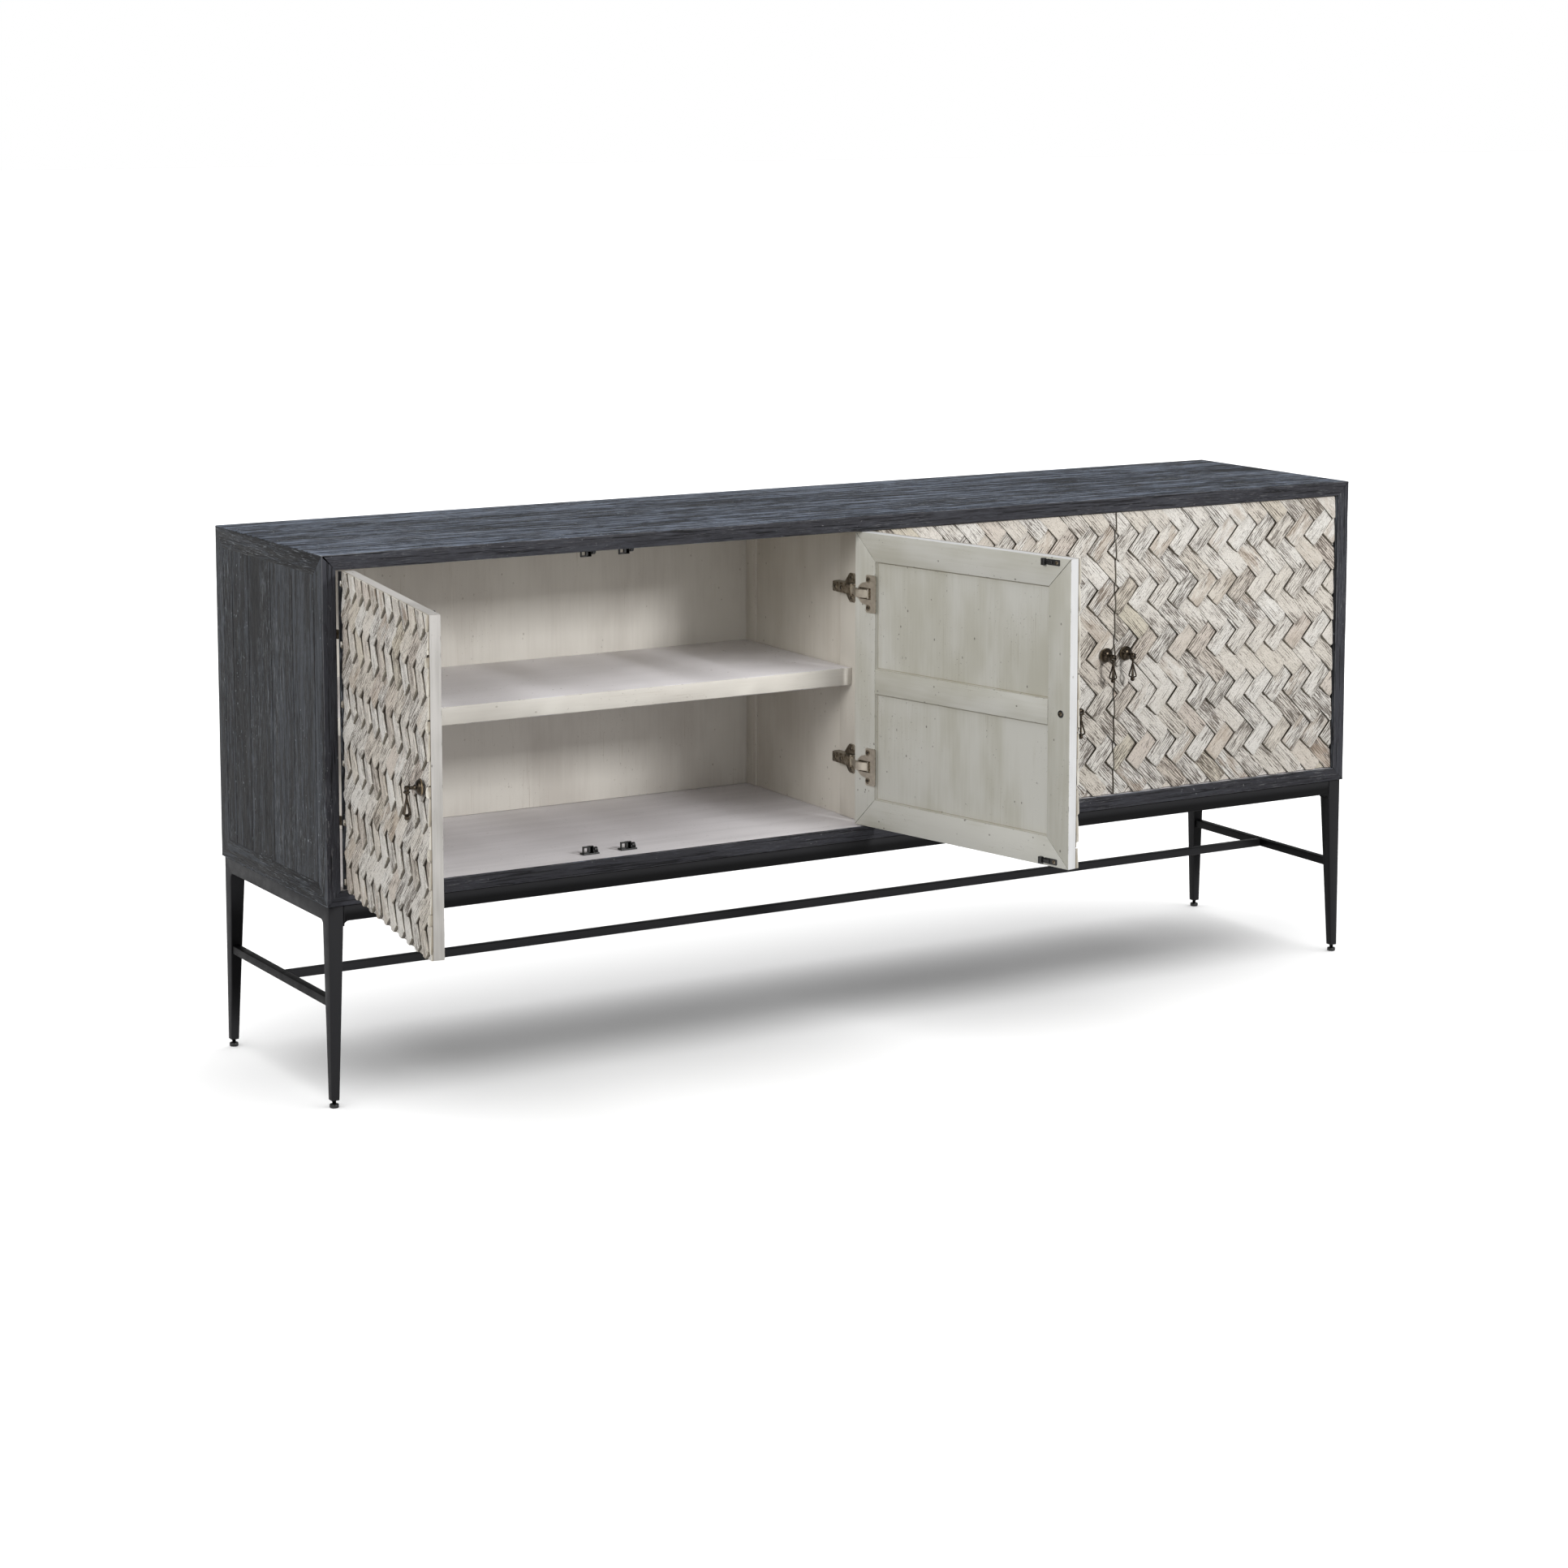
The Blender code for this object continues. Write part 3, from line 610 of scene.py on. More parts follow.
# A lighter copy of the inside paint for the shelves' tops and the case's floor: painted light on faces that
# look up.
SHELF_PAINT_LIT = painted_wood(
    "grey_shelf_paint_painted_light", (236, 233, 235), (227, 224, 226), (150, 142, 132), (110, 100, 90),
    streaks=0.35, chips=0.9,
)
DOOR = painted_wood(
    "off_white_door_paint", (200, 199, 192), (182, 180, 168), (134, 124, 100), (100, 95, 88), streaks=0.45
)
DOOR_EDGE = painted_wood(
    "worn_door_edge_paint", (186, 183, 179), (146, 143, 138), (128, 122, 112), (96, 90, 84), streaks=0.9
)
# A lighter copy of the door edge paint: painted light, for edges that catch more light than the others.
DOOR_EDGE_LIT = painted_wood(
    "door_edge_paint_painted_light", (217, 217, 217), (199, 199, 199), (156, 152, 146), (118, 112, 104),
    streaks=0.3, chips=0.6,
)
BLOCKS = washed_blocks("whitewashed_blocks")
CUTS = painted_wood(
    "washed_cut_edge", (206, 202, 192), (176, 170, 158), (130, 120, 104), (96, 88, 78), streaks=0.8
)
# The blocks' raised end faces: cut end grain under the wash, made darker still as painted shade; the edge
# fact darkens them most at their foot.
ENDS_SHADED = painted_wood(
    "washed_block_ends_painted_shade", (132, 125, 112), (96, 89, 78), (42, 37, 31), (36, 31, 27), streaks=0.9
)
BACKING = stained_wood("facing_backing", (60, 54, 46), (84, 76, 66), (110, 101, 90), (140, 130, 116))
# Its rubbed-edge colour is partly rub and partly a painted highlight along the tubes' rounded edges.
STEEL = metal(
    "gunmetal_steel", (7, 7, 8), (50, 50, 52), (3, 3, 4),
    roughness=0.50, metallic=0.0, scale=38.0, relief=0.16, shine=0.08,
)
NICKEL = metal(
    "antique_nickel", (156, 147, 132), (226, 218, 204), (100, 89, 74),
    roughness=0.36, metallic=0.95, scale=160.0, relief=0.08,
)
BRONZE = metal(
    "antique_bronze", (70, 62, 52), (150, 134, 108), (38, 33, 28),
    roughness=0.33, metallic=1.0, scale=260.0, relief=0.06,
)
BLACK = moulded("black_plastic", (12, 12, 12), 0.36)
BRASS_DARK = metal(
    "dark_screw", (124, 114, 98), (190, 178, 158), (70, 62, 52),
    roughness=0.36, metallic=1.0, scale=300.0, relief=0.05,
)


# ---------------------------------------------------------------- case


def section(width, thick, radius, seams):
    """A board's outline across its length, as (y, z, edge, plank). z = 0 is the inner face."""
    rim, mid, near = 0.293 * radius, 0.076 * radius, 0.617 * radius
    lip, groove, half = 0.0010, 0.0009, 0.0004
    corner = [(radius, 0.0, 0.0), (near, mid, 0.6), (rim, rim, 1.0), (mid, near, 0.6), (0.0, radius, 0.0)]
    ring = [(y, z, e, 0) for y, z, e in corner[1:]]
    ring += [(y, thick - z, e, 0) for y, z, e in corner[::-1]]
    for plank, seam in enumerate(seams):
        ring += [(seam - lip, thick, -0.2, plank), (seam - half, thick - groove, -1.0, plank)]
        ring += [(seam + half, thick - groove, -1.0, plank + 1), (seam + lip, thick, -0.2, plank + 1)]
    last = len(seams)
    ring += [(width - y, thick - z, e, last) for y, z, e in corner]
    ring += [(width - y, z, e, last) for y, z, e in corner[::-1]]
    return ring + [(PAINT_FROM, 0.0, 0.0, 0), (radius, 0.0, 0.0, 0)]


def case_slot(a, b):
    """A board's slot between two points of its section: 0 outside, 1 on its front edge, 2 painted inside."""
    near, front = 0.0003, 0.0012
    if a[1] < near and b[1] < near and min(a[0], b[0]) >= PAINT_FROM - near:
        return 2
    return 1 if max(a[0], b[0]) < front else 0


def swept_board(piece, seams, size, lean, radius, matrix, seed):
    """A mitred board of planks. x runs along it, z = 0 is its inner face, and both its ends lean.

    size is its length, width and thickness. lean is how much shorter each end is at the inner face for
    each metre of thickness."""
    length, width, thick = size
    spacing, first, end_zone, top_zone = 0.045, 0.02, 0.01, 0.002
    ring = section(width, thick, radius, seams)
    rng = random.Random(seed)
    tints = [random_tint(rng) for _ in range(12)]
    shifts = [random_shift(rng, 9, 3, 3) for _ in range(12)]
    ends = ((0.293 * radius, 0.293 * radius), (0.617 * radius, 0.076 * radius), (radius, 0.0))
    stations = list(ends)
    stations += [(x, 0.0) for x in np.linspace(first, length - first, max(2, int(length / spacing)))]
    stations += [(length - x, drop) for x, drop in ends[::-1]]
    points, grain, tint, edge = [], [], [], []
    for x, drop in stations:
        for y, z, wear, plank in ring:
            inset = lean * (thick - z)
            top = z > thick - top_zone
            if top:
                at = x
            elif x < end_zone:
                at = inset
            elif x > length - end_zone:
                at = length - inset
            else:
                at = inset + x * (length - 2 * inset) / length
            points.append((at, y, z - drop if top else z))
            shift = shifts[plank]
            grain.append((at + shift[0], y + shift[1], z + shift[2]))
            tint.append(tints[plank])
            edge.append(max(wear, 0.9 if drop and top else 0.0) if wear >= 0 else wear)
    faces = walls(len(stations), len(ring), inward=True, capped=True)
    slots = [case_slot(a, b) for a, b in zip(ring, ring[1:] + ring[:1])] * (len(stations) - 1) + [0, 0]
    points, edge = np.array(points), np.array(edge)
    nick = np.clip(wobble(points, 0.021, seed + 1), 0, 1) * 0.0004
    pull = np.sign(points.mean(0) - points) * nick[:, None] * (edge > 0.5)[:, None]
    pull[:, 0] = 0
    shape = points + pull, faces, edge
    piece.add(shape, slot=slots, grain=np.array(grain), tint=np.array(tint), matrix=matrix)


def build_deck(name, node, inner_paint, up, seams, radius, seed):
    """The top or the bottom board, mitred to the ends. up is the way that its outer face looks."""
    low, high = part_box(node)
    size = high - low
    piece = Piece(name, [STAIN, STAIN_EDGE, inner_paint])
    place = axes((1, 0, 0), (0, 1, 0), (0, 0, up), (low.x, low.y, low.z if up > 0 else high.z))
    swept_board(piece, seams, (size.x, size.y, size.z), SIDE_THICK / size.z, radius, place, seed)
    piece.finish("case", "dark_wood", [node])


def build_side(side, name):
    """An end of the case: upright planks with a border that is mitred at its corners."""
    band, keep, flush = 0.034, 0.0022, 0.00022
    height, depth, thick = TOP_HI.z - CASE_BASE, TOP_HI.y - TOP_LO.y, SIDE_THICK - flush
    inner_x = CENTRE_X + side * (TOP_HI.x - CENTRE_X) - side * SIDE_THICK
    # The ends take the darker copy of the stain, as painted shade.
    panel = Piece(f"{name}_end_board", [STAIN_SHADED, STAIN_EDGE, INSIDE])
    place = axes((0, 0, 1), (0, 1, 0), (side, 0, 0), (inner_x, FRONT, CASE_BASE))
    seams = (band, 0.121, 0.209, 0.302, 0.371, depth - band)
    lean = (TOP_HI.z - TOP_LO.z) / thick
    swept_board(panel, seams, (height, depth, thick), lean, 0.0018, place, 21 + side)
    place = axes((0, 1, 0), (0, 0, 1), (side, 0, 0), (inner_x, FRONT, CASE_BASE))
    rng = random.Random(40 + side)
    wide, narrow = (keep, depth - keep), (band, depth - band)
    for z0, z1, low, high in ((height - band, height - keep, narrow, wide), (keep, band, wide, narrow)):
        outline = [(low[0], z0), (low[1], z0), (high[1], z1), (high[0], z1)]
        shape = prism(outline, thick - 0.001, SIDE_THICK, 0.0003, rim=-0.8)
        panel.add(shape, tint=random_tint(rng), matrix=place, shift=(rng.uniform(0, 5), 1.7, 2.9))
    panel.finish("case", "dark_wood", [f"{name}_side_panel"])


def build_case():
    """The four boards of the case's outside."""
    build_deck("top_board", "top_panel", INSIDE, 1, (0.118, 0.226, 0.338), 0.0018, 11)
    # The bottom board's inner face takes the lighter shelf paint, as painted light.
    build_deck("bottom_board", "bottom_panel", SHELF_PAINT_LIT, -1, (0.14, 0.29), 0.0015, 12)
    build_side(-1, "left")
    build_side(1, "right")


def plain_board(piece, low, high, radius, along, seed, step=0.05, nicks=0.0004, tint=None):
    """A rounded board whose edges are a little uneven."""
    steps = [WHOLE, WHOLE, WHOLE]
    steps[along] = step
    points, faces, edge = rounded_box(low, high, radius, steps)
    rng = random.Random(seed)
    tint = tint or random_tint(rng)
    grain = points[:, [along, (along + 1) % 3, (along + 2) % 3]] + np.array(random_shift(rng, 9, 3, 3))
    middle = (np.array(low) + np.array(high)) / 2
    amount = np.clip(wobble(points, 0.02, seed), 0, 1) * nicks
    points = points + np.sign(middle - points) * (amount * (edge > 0.4))[:, None]
    piece.add((points, faces, edge), grain=grain, tint=tint)
    return points, faces


def build_inside():
    """The back, the partition with its recessed panel, and the two shelves."""
    back = Piece("back_board", [INSIDE, STAIN_SHADED])
    points, faces, edge = rounded_box(tuple(BACK_LO), tuple(BACK_HI), 0.0008)
    rear = [int((points[face, 1] > BACK_HI.y - 0.0009).all()) for face in faces]
    back.add((points, faces, edge * 0), slot=rear, along=2, shift=(3.3, 1.1, 0.4))
    back.finish("case", "interior_paint", ["back_panel"])

    # The partition takes the darker copy of the inside paint, as painted shade.
    wall = Piece("partition_frame", [PARTITION_PAINT_SHADED])
    low, high = tuple(WALL_LO), tuple(WALL_HI)
    stile, rear = FRONT + 0.106, FRONT + 0.394
    gap, recess, overlap = 0.0006, 0.0025, 0.004
    plain_board(wall, low, (high[0], stile - gap, high[2]), 0.0010, 2, 51)
    plain_board(wall, (low[0], rear + gap, low[2]), high, 0.0010, 2, 52)
    inner_low = (low[0] + recess, stile - overlap, low[2])
    inner_high = (high[0] - recess, rear + overlap, high[2])
    plain_board(wall, inner_low, inner_high, 0.0003, 2, 53, nicks=0)
    wall.finish("case", "interior_paint", ["centre_partition"])

    for name, seed in (("left", 61), ("right", 62)):
        low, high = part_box(f"{name}_shelf")
        # Shelf tops take the lighter copy of the inside paint as painted light; their fronts take the inside
        # paint.
        shelf = Piece(f"{name}_shelf_board", [SHELF_PAINT_LIT, INSIDE])
        points, faces = plain_board(
            shelf, tuple(low), tuple(high), 0.0016, 0, seed, step=0.03, nicks=0.0006, tint=(0.5, 0.5, 0.5)
        )
        shelf.slots = [int((points[face, 1] < low.y + 0.0012).all()) for face in faces]
        shelf.finish("case", "interior_paint", [f"{name}_shelf"])


# ---------------------------------------------------------------- steel stand


def eased_copy(name, node, width, material):
    """A CAD node's shape with its duplicate points merged and its edges rounded, as a new piece."""
    bm = bmesh.new()
    bm.from_mesh(NODES[node].data)
    bmesh.ops.remove_doubles(bm, verts=bm.verts, dist=0.00002)
    bmesh.ops.dissolve_limit(bm, angle_limit=math.radians(2), verts=bm.verts, edges=bm.edges)
    sharp = [edge for edge in bm.edges if edge.is_manifold and edge.calc_face_angle(0) > math.radians(40)]
    sharp = [edge for edge in sharp if edge.is_convex]
    shape = {"offset_type": "OFFSET", "affect": "EDGES", "segments": 3, "profile": 0.5}
    bmesh.ops.bevel(bm, geom=sharp, offset=width, **shape)
    # The rounded edges get edge 1, which the steel's material paints lighter: rub, and a painted highlight
    # along the tubes.
    worn = []
    for vert in bm.verts:
        angles = [edge.calc_face_angle(0) for edge in vert.link_edges if edge.is_manifold]
        worn.append(float(sum(0.2 < angle < 1.2 for angle in angles) >= 2))
    bm.verts.index_update()
    points = np.array([tuple(vert.co) for vert in bm.verts])
    faces = [[vert.index for vert in face.verts] for face in bm.faces]
    bm.free()
    piece = Piece(name, [material])
    piece.add((points, faces, worn))
    return piece


def build_stand():
    """The steel tubes, and the four feet with their pads and threads."""
    for node in ("front_rail", "back_rail", "long_stretcher", "left_end_frame", "right_end_frame"):
        eased_copy(f"{node}_tube", node, 0.0012, STEEL).finish("case", "stand_steel", [node])
    for node in ("front_left_foot", "front_right_foot", "back_left_foot", "back_right_foot"):
        low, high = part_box(node)
        tall, r = high.z - low.z, (high.x - low.x) / 2
        piece = Piece(f"{node}_leveller", [BLACK, STEEL])
        pad = [(0.0, 0.0), (r - 0.0012, 0.0), (r - 0.0003, 0.0006), (r, 0.0016)]
        pad += [(r, 0.0046), (r - 0.0004, 0.0056), (r - 0.0014, 0.0062), (0.0036, 0.0066), (0.0, 0.0066)]
        place = Matrix.Translation(((low.x + high.x) / 2, (low.y + high.y) / 2, low.z))
        piece.add(lathe(pad, 40), along=2, matrix=place)
        root, crest, pitch = 0.0026, 0.0032, 0.0006
        thread = [(0.0, 0.006)]
        z = 0.0062
        while z < tall - pitch:
            thread += [(root, z), (crest, z + pitch / 2)]
            z += pitch
        thread += [(root, tall), (0.0, tall)]
        piece.add(lathe(thread, 24), slot=1, along=2, matrix=place)
        piece.finish("case", "foot_black", [node])


# ---------------------------------------------------------------- doors


def door_span(name):
    """x of the door's left and right edges when it is shut."""
    gap, meet = 0.002, 0.003
    low = {
        "left_outer": CENTRE_X - SIDE_IN + gap,
        "left_inner": CENTRE_X - meet / 2 - DOOR_WIDTH,
        "right_inner": CENTRE_X + meet / 2,
        "right_outer": CENTRE_X + SIDE_IN - gap - DOOR_WIDTH,
    }[name]
    return low, low + DOOR_WIDTH


def door_edges(name):
    """x of a shut door's hinge edge and free edge, and the way along x from the first to the second."""
    left, right = door_span(name)
    return (left, right, 1) if DOOR_SIDE[name] < 0 else (right, left, -1)


def door_turn(name):
    """The matrix that swings a shut door's pieces to where they stand at rest."""
    x, y, _ = JOINTS[f"{name}_door"]["pos_m"]
    turn = Matrix.Rotation(math.radians(-SHUT_AT[name]), 4, "Z")
    return Matrix.Translation((x, y, 0)) @ turn @ Matrix.Translation((-x, -y, 0))


def clipped(points, faces, facts, slots, low, high):
    """A convex shape cut to a rectangle in x and z, as (points, faces, facts, slots).

    A face that closes a cut is in the slot of the cut edges. A shape that is all outside gives None."""
    for axis, limit, sign in ((0, low[0], 1), (0, high[0], -1), (2, low[1], 1), (2, high[1], -1)):
        side = (points[:, axis] - limit) * sign
        if (side >= 0).all():
            continue
        if (side < 0).all():
            return None
        made, new_points, new_facts, rim = {}, list(points), list(facts), {}
        new_faces, new_slots = [], []
        for face, slot in zip(faces, slots):
            kept, entering, leaving = [], None, None
            for a, b in zip(face, face[1:] + face[:1]):
                if side[a] >= 0:
                    kept.append(a)
                if (side[a] >= 0) == (side[b] >= 0):
                    continue
                first, second = key = (min(a, b), max(a, b))
                if key not in made:
                    share = side[first] / (side[first] - side[second])
                    made[key] = len(new_points)
                    new_points.append(points[first] * (1 - share) + points[second] * share)
                    new_facts.append(facts[first] * (1 - share) + facts[second] * share)
                kept.append(made[key])
                if side[a] >= 0:
                    leaving = made[key]
                else:
                    entering = made[key]
            if len(kept) > 2:
                new_faces.append(kept)
                new_slots.append(slot)
            if leaving is not None and entering is not None:
                rim[entering] = leaving
        loop, at = [], next(iter(rim), None)
        while at in rim and at not in loop:
            loop.append(at)
            at = rim[at]
        if len(loop) > 2:
            new_faces.append(loop)
            new_slots.append(CUT_SLOT)
        points, facts = np.array(new_points), np.array(new_facts)
        faces, slots = new_faces, new_slots
    used = sorted({i for face in faces for i in face})
    again = {old: new for new, old in enumerate(used)}
    return points[used], [[again[i] for i in face] for face in faces], facts[used], slots


FACING_LOOKS = [BLOCKS, BACKING, CUTS, STAIN_SHADED, ENDS_SHADED]
BLOCK_SLOT, BACKING_SLOT, CUT_SLOT, SHADE_STRIP_SLOT, END_SLOT = range(5)


def block_shape(rng, seed, length, width, rise):
    """One herringbone block lying along u, raised at u = 0: (points, faces, edge, grain, slots).

    Its top falls away from the raised end, bows across and has ridges. The raised end's corners are
    rounded, its face leans and is a little ragged, and its sides wander."""
    foot = 0.0003
    low, high = (0.0, -width / 2, foot), (length, width / 2, rise)
    points, faces, edge = rounded_box(low, high, 0.0009, (0.0060, 0.0026, 0.0030))
    grain = points.copy()
    u, v, w = points[:, 0], points[:, 1], points[:, 2]
    slots = []
    for face in faces:
        at_end = u[face].max() < 0.0003 and w[face].mean() < rise - 0.0006
        slots.append(END_SLOT if at_end else BLOCK_SLOT)
    share = (w - foot) / (rise - foot)
    # The edge fact runs below 0 down the walls: painted shade, darkest at each wall's foot.
    end_wall_shade = -0.42 - 0.58 * (1 - share) ** 1.2
    side_wall_shade = -0.04 - 0.96 * np.clip((1 - share) / 0.42, 0, 1) ** 1.6
    edge = np.where(w > rise - 0.0010, edge, np.where(u < 0.0010, end_wall_shade, side_wall_shade))
    drop = rise * rng.uniform(0.78, 0.86) * np.clip(u / length, 0, 1) ** 1.1
    ridges = wobble(np.column_stack([u * 0.12, v, v * 0]), 0.0075, seed) * 0.00030
    ridges += wobble(np.column_stack([u, v * 2.2, v * 0]), 0.030, seed + 1) * 0.00035
    droop = 0.0005 * np.clip(1 - u / 0.008, 0, 1) ** 2
    bow = 0.0007 * (2 * v / width) ** 2
    w = w - np.clip(share, 0, 1) * (drop + np.abs(ridges) + droop + bow)
    round_end = 0.0014 * (np.abs(2 * v / width) ** 5) * np.clip(1 - u / 0.012, 0, 1)
    round_end += (0.0016 - 0.0034 * (1 - share)) * np.clip(1 - u / 0.014, 0, 1)
    ragged = wobble(np.column_stack([v * 0, v, w]), 0.009, seed + 2) * 0.0006 * np.clip(1 - u / 0.010, 0, 1)
    u = u + round_end + ragged
    side = wobble(np.column_stack([u, v * 0, w * 0]), 0.030, seed + 3) * 0.0004
    v = v * (1 + side / (width / 2)) + rng.uniform(-0.0003, 0.0003)
    return np.column_stack([u, v, w]), faces, edge, grain, slots


def build_facing(name):
    """The herringbone facing: rows of sloping blocks, each one's raised end over the row below."""
    length, width, slant = 0.0800, 0.0309, math.radians(46.5)
    pitch, row, first_tip, extra_rows = 0.0437, 0.0470, 0.0426, 3
    start_x = {"right_outer": 0.0, "right_inner": 0.0135, "left_inner": -0.009, "left_outer": 0.021}[name]
    falling_x, rising_x = 0.0516 + start_x, 0.0480 + start_x
    backing, sheet = FACING_THICK - 0.0002, 0.0009
    left, right = door_span(name)
    seed = 1000 + DOOR_NAMES.index(name) * 500
    rng = random.Random(seed)
    piece = Piece(f"{name}_herringbone", FACING_LOOKS)
    inner_y, sheet_y = DOOR_FRONT + backing, DOOR_FRONT + backing - sheet
    board = rounded_box((left, sheet_y, DOOR_LO_Z), (right, inner_y, DOOR_HI_Z), 0.0004)
    piece.add(board, slot=BACKING_SLOT)
    # On the outer doors, a thin dark strip along the hinge edge: painted shade that keeps the gap at the
    # case's side dark.
    if name.endswith("outer"):
        hinge_x, _, way = door_edges(name)
        x0, x1 = sorted((hinge_x - way * 0.0014, hinge_x + way * 0.0020))
        shade_strip = rounded_box((x0, DOOR_FRONT + 0.0008, DOOR_LO_Z), (x1, sheet_y, DOOR_HI_Z), 0.0003)
        piece.add(shade_strip, slot=SHADE_STRIP_SLOT, along=2)
    rise = backing - 0.0010
    ends = (left, DOOR_LO_Z), (right, DOOR_HI_Z)
    for r in range(int((DOOR_HI_Z - DOOR_LO_Z) / row) + extra_rows):
        way = 1 if r % 2 == 0 else -1
        tip_z = DOOR_HI_Z - first_tip - r * row
        for n in range(-2, 14):
            seed += 1
            tip_x = left + (falling_x if way > 0 else rising_x) + pitch * n
            lean = slant + rng.uniform(-0.012, 0.012)
            along = Vector((way * math.cos(lean), 0, -math.sin(lean)))
            across = Vector((0, -1, 0)).cross(along)
            if across.z > 0:
                across = -across
            height = rise - rng.uniform(0.0, 0.0011)
            wide = width - rng.uniform(0.0001, 0.0009)
            points, faces, edge, grain, slots = block_shape(rng, seed, length, wide, height)
            corner = Vector((tip_x, 0, tip_z)) - across * (width / 2)
            corner += Vector((rng.uniform(-0.0007, 0.0007), 0, rng.uniform(-0.0007, 0.0007)))
            matrix = axes(-along, across, (0, -1, 0), (corner.x, inner_y, corner.z))
            cut = clipped(*placed(points, faces, matrix), np.column_stack([grain, edge]), slots, *ends)
            if cut is None:
                continue
            points, faces, facts, slots = cut
            tint = (rng.random() ** 1.5, rng.random() ** 0.9, rng.random())
            shape = points, faces, facts[:, 3]
            piece.add(shape, slot=slots, grain=facts[:, :3] + np.array(random_shift(rng)), tint=tint)
    piece.finish(f"{name}_door", "facing", [f"{name}_door_facing"], door_turn(name), smooth=40)


def recessed_panel(x0, z0, x1, z1, depth):
    """A door's inner panel: a step down from its frame's back, a thin seam, then flat."""
    step, recess, foot = 0.0010, 0.006, 0.002
    floor = depth - recess
    # The third number of each level is its edge fact: below 0 it darkens the seam at the frame and the
    # recess's inner corner, as glaze and painted shade.
    levels = [(0.0, depth - 0.0015, -1.0), (0.0004, depth - 0.0019, -0.3), (step, floor + 0.0006, -0.15)]
    levels += [(step + 0.0004, floor, -0.9), (step + 0.0016, floor, -0.25), (step + 0.014, floor, 0.0)]
    levels += [(0.0, foot, 0.0)]
    points, edge = [], []
    for inset, y, worn in levels:
        low_x, low_z, high_x, high_z = x0 + inset, z0 + inset, x1 - inset, z1 - inset
        points += [(low_x, low_z, y), (high_x, low_z, y), (high_x, high_z, y), (low_x, high_z, y)]
        edge += [worn] * 4
    base = len(points) - 4
    faces = walls(len(levels) - 1, 4) + [list(range(base - 4, base))]
    faces += [[base + i, base + (i + 1) % 4, (i + 1) % 4, i] for i in range(4)]
    return np.array(points), faces + [list(range(base, base + 4))[::-1]], np.array(edge)


def build_frame(name):
    """A door's painted back: mitred stiles and rails round two panels, bored for two hinge cups."""
    left, right = door_span(name)
    hinge_edge, _, way = door_edges(name)
    front = DOOR_FRONT + FACING_THICK
    depth = DOOR_BACK - front
    low, high, middle, half = DOOR_LO_Z, DOOR_HI_Z, (DOOR_LO_Z + DOOR_HI_Z) / 2, MID_RAIL / 2
    place = axes((1, 0, 0), (0, 0, 1), (0, 1, 0), (0, front, 0))
    rng = random.Random(name)
    # Doors hinged on their right take the lighter copy of the edge paint, as painted light.
    piece = Piece(f"{name}_door_boards", [DOOR, DOOR_EDGE if way > 0 else DOOR_EDGE_LIT])
    x0, x1, z0, z1 = left + STILE, right - STILE, low + STILE, high - STILE
    rail_z0, rail_z1 = middle - half, middle + half
    hair, tip = 0.00012, 0.00036
    stiles = [
        [(left, low + tip), (x0 - hair, z0), (x0 - hair, z1), (left, high - tip)],
        [(right, high - tip), (x1 + hair, z1), (x1 + hair, z0), (right, low + tip)],
    ]
    rails = [
        [(left + tip, low), (right - tip, low), (x1, z0 - hair), (x0, z0 - hair)],
        [(right - tip, high), (left + tip, high), (x0, z1 + hair), (x1, z1 + hair)],
        [(x0 + hair, rail_z0), (x1 - hair, rail_z0), (x1 - hair, rail_z1), (x0 + hair, rail_z1)],
    ]
    cup_x = hinge_edge + way * CUP_IN
    for outline in stiles + rails:
        upright = outline in stiles
        points, faces, edge = prism(outline, 0.0, depth, 0.0014 if upright else 0.0011)
        tint, shift = random_tint(rng), random_shift(rng)
        if upright and min(p[0] for p in outline) < cup_x < max(p[0] for p in outline):
            cups = [(cup_x, z) for z in HINGE_Z]
            points, faces, edge = bored(points, faces, cups, CUP_BORE, depth - CUP_DEEP)
        outside = ((0, left), (0, right), (1, low), (1, high))
        slots = [int(any((abs(points[face, i] - at) < 0.0005).all() for i, at in outside)) for face in faces]
        shape = points, faces, edge
        piece.add(shape, slot=slots, along=int(upright), tint=tint, matrix=place, shift=shift)
    for panel_z0, panel_z1 in ((z0, rail_z0), (rail_z1, z1)):
        panel = recessed_panel(x0, panel_z0, x1, panel_z1, depth)
        tint, shift = random_tint(rng), (rng.uniform(0, 9), 3.0, 1.0)
        piece.add(panel, along=1, tint=tint, matrix=place, shift=shift)
    piece.finish(f"{name}_door", "door_paint", [f"{name}_door_frame"], door_turn(name))


def bored(points, faces, centres, radius, floor):
    """A prism with round blind holes let into its z-high side, as (points, faces, edge)."""

    def helper_object(name, points, faces):
        mesh = bpy.data.meshes.new(name)
        mesh.from_pydata(points.tolist(), [], faces)
        return linked(name, mesh)

    high = points[:, 2].max()
    board = helper_object("board", points, faces)
    helpers = [board]
    for x, z in centres:
        above = high + 0.01
        plug, plug_faces, _ = lathe([(0.0, floor), (radius, floor), (radius, above), (0.0, above)], 48)
        helpers.append(helper_object("cutter", plug + np.array([x, z, 0.0]), plug_faces))
        cut = board.modifiers.new("bore", "BOOLEAN")
        cut.operation = "DIFFERENCE"
        cut.solver = "EXACT"
        cut.object = helpers[-1]
    bpy.context.view_layer.update()
    made = bpy.data.meshes.new_from_object(board.evaluated_get(bpy.context.evaluated_depsgraph_get()))
    points = np.array([tuple(vert.co) for vert in made.vertices])
    faces = [list(face.vertices) for face in made.polygons]
    for helper in helpers:
        bpy.data.objects.remove(helper, do_unlink=True)
    bpy.data.meshes.remove(made)
    near_top = (points[:, 2] < high - 0.0003) & (points[:, 2] > high - 0.0009)
    return points, faces, np.where(near_top, 0.8, 0.0)


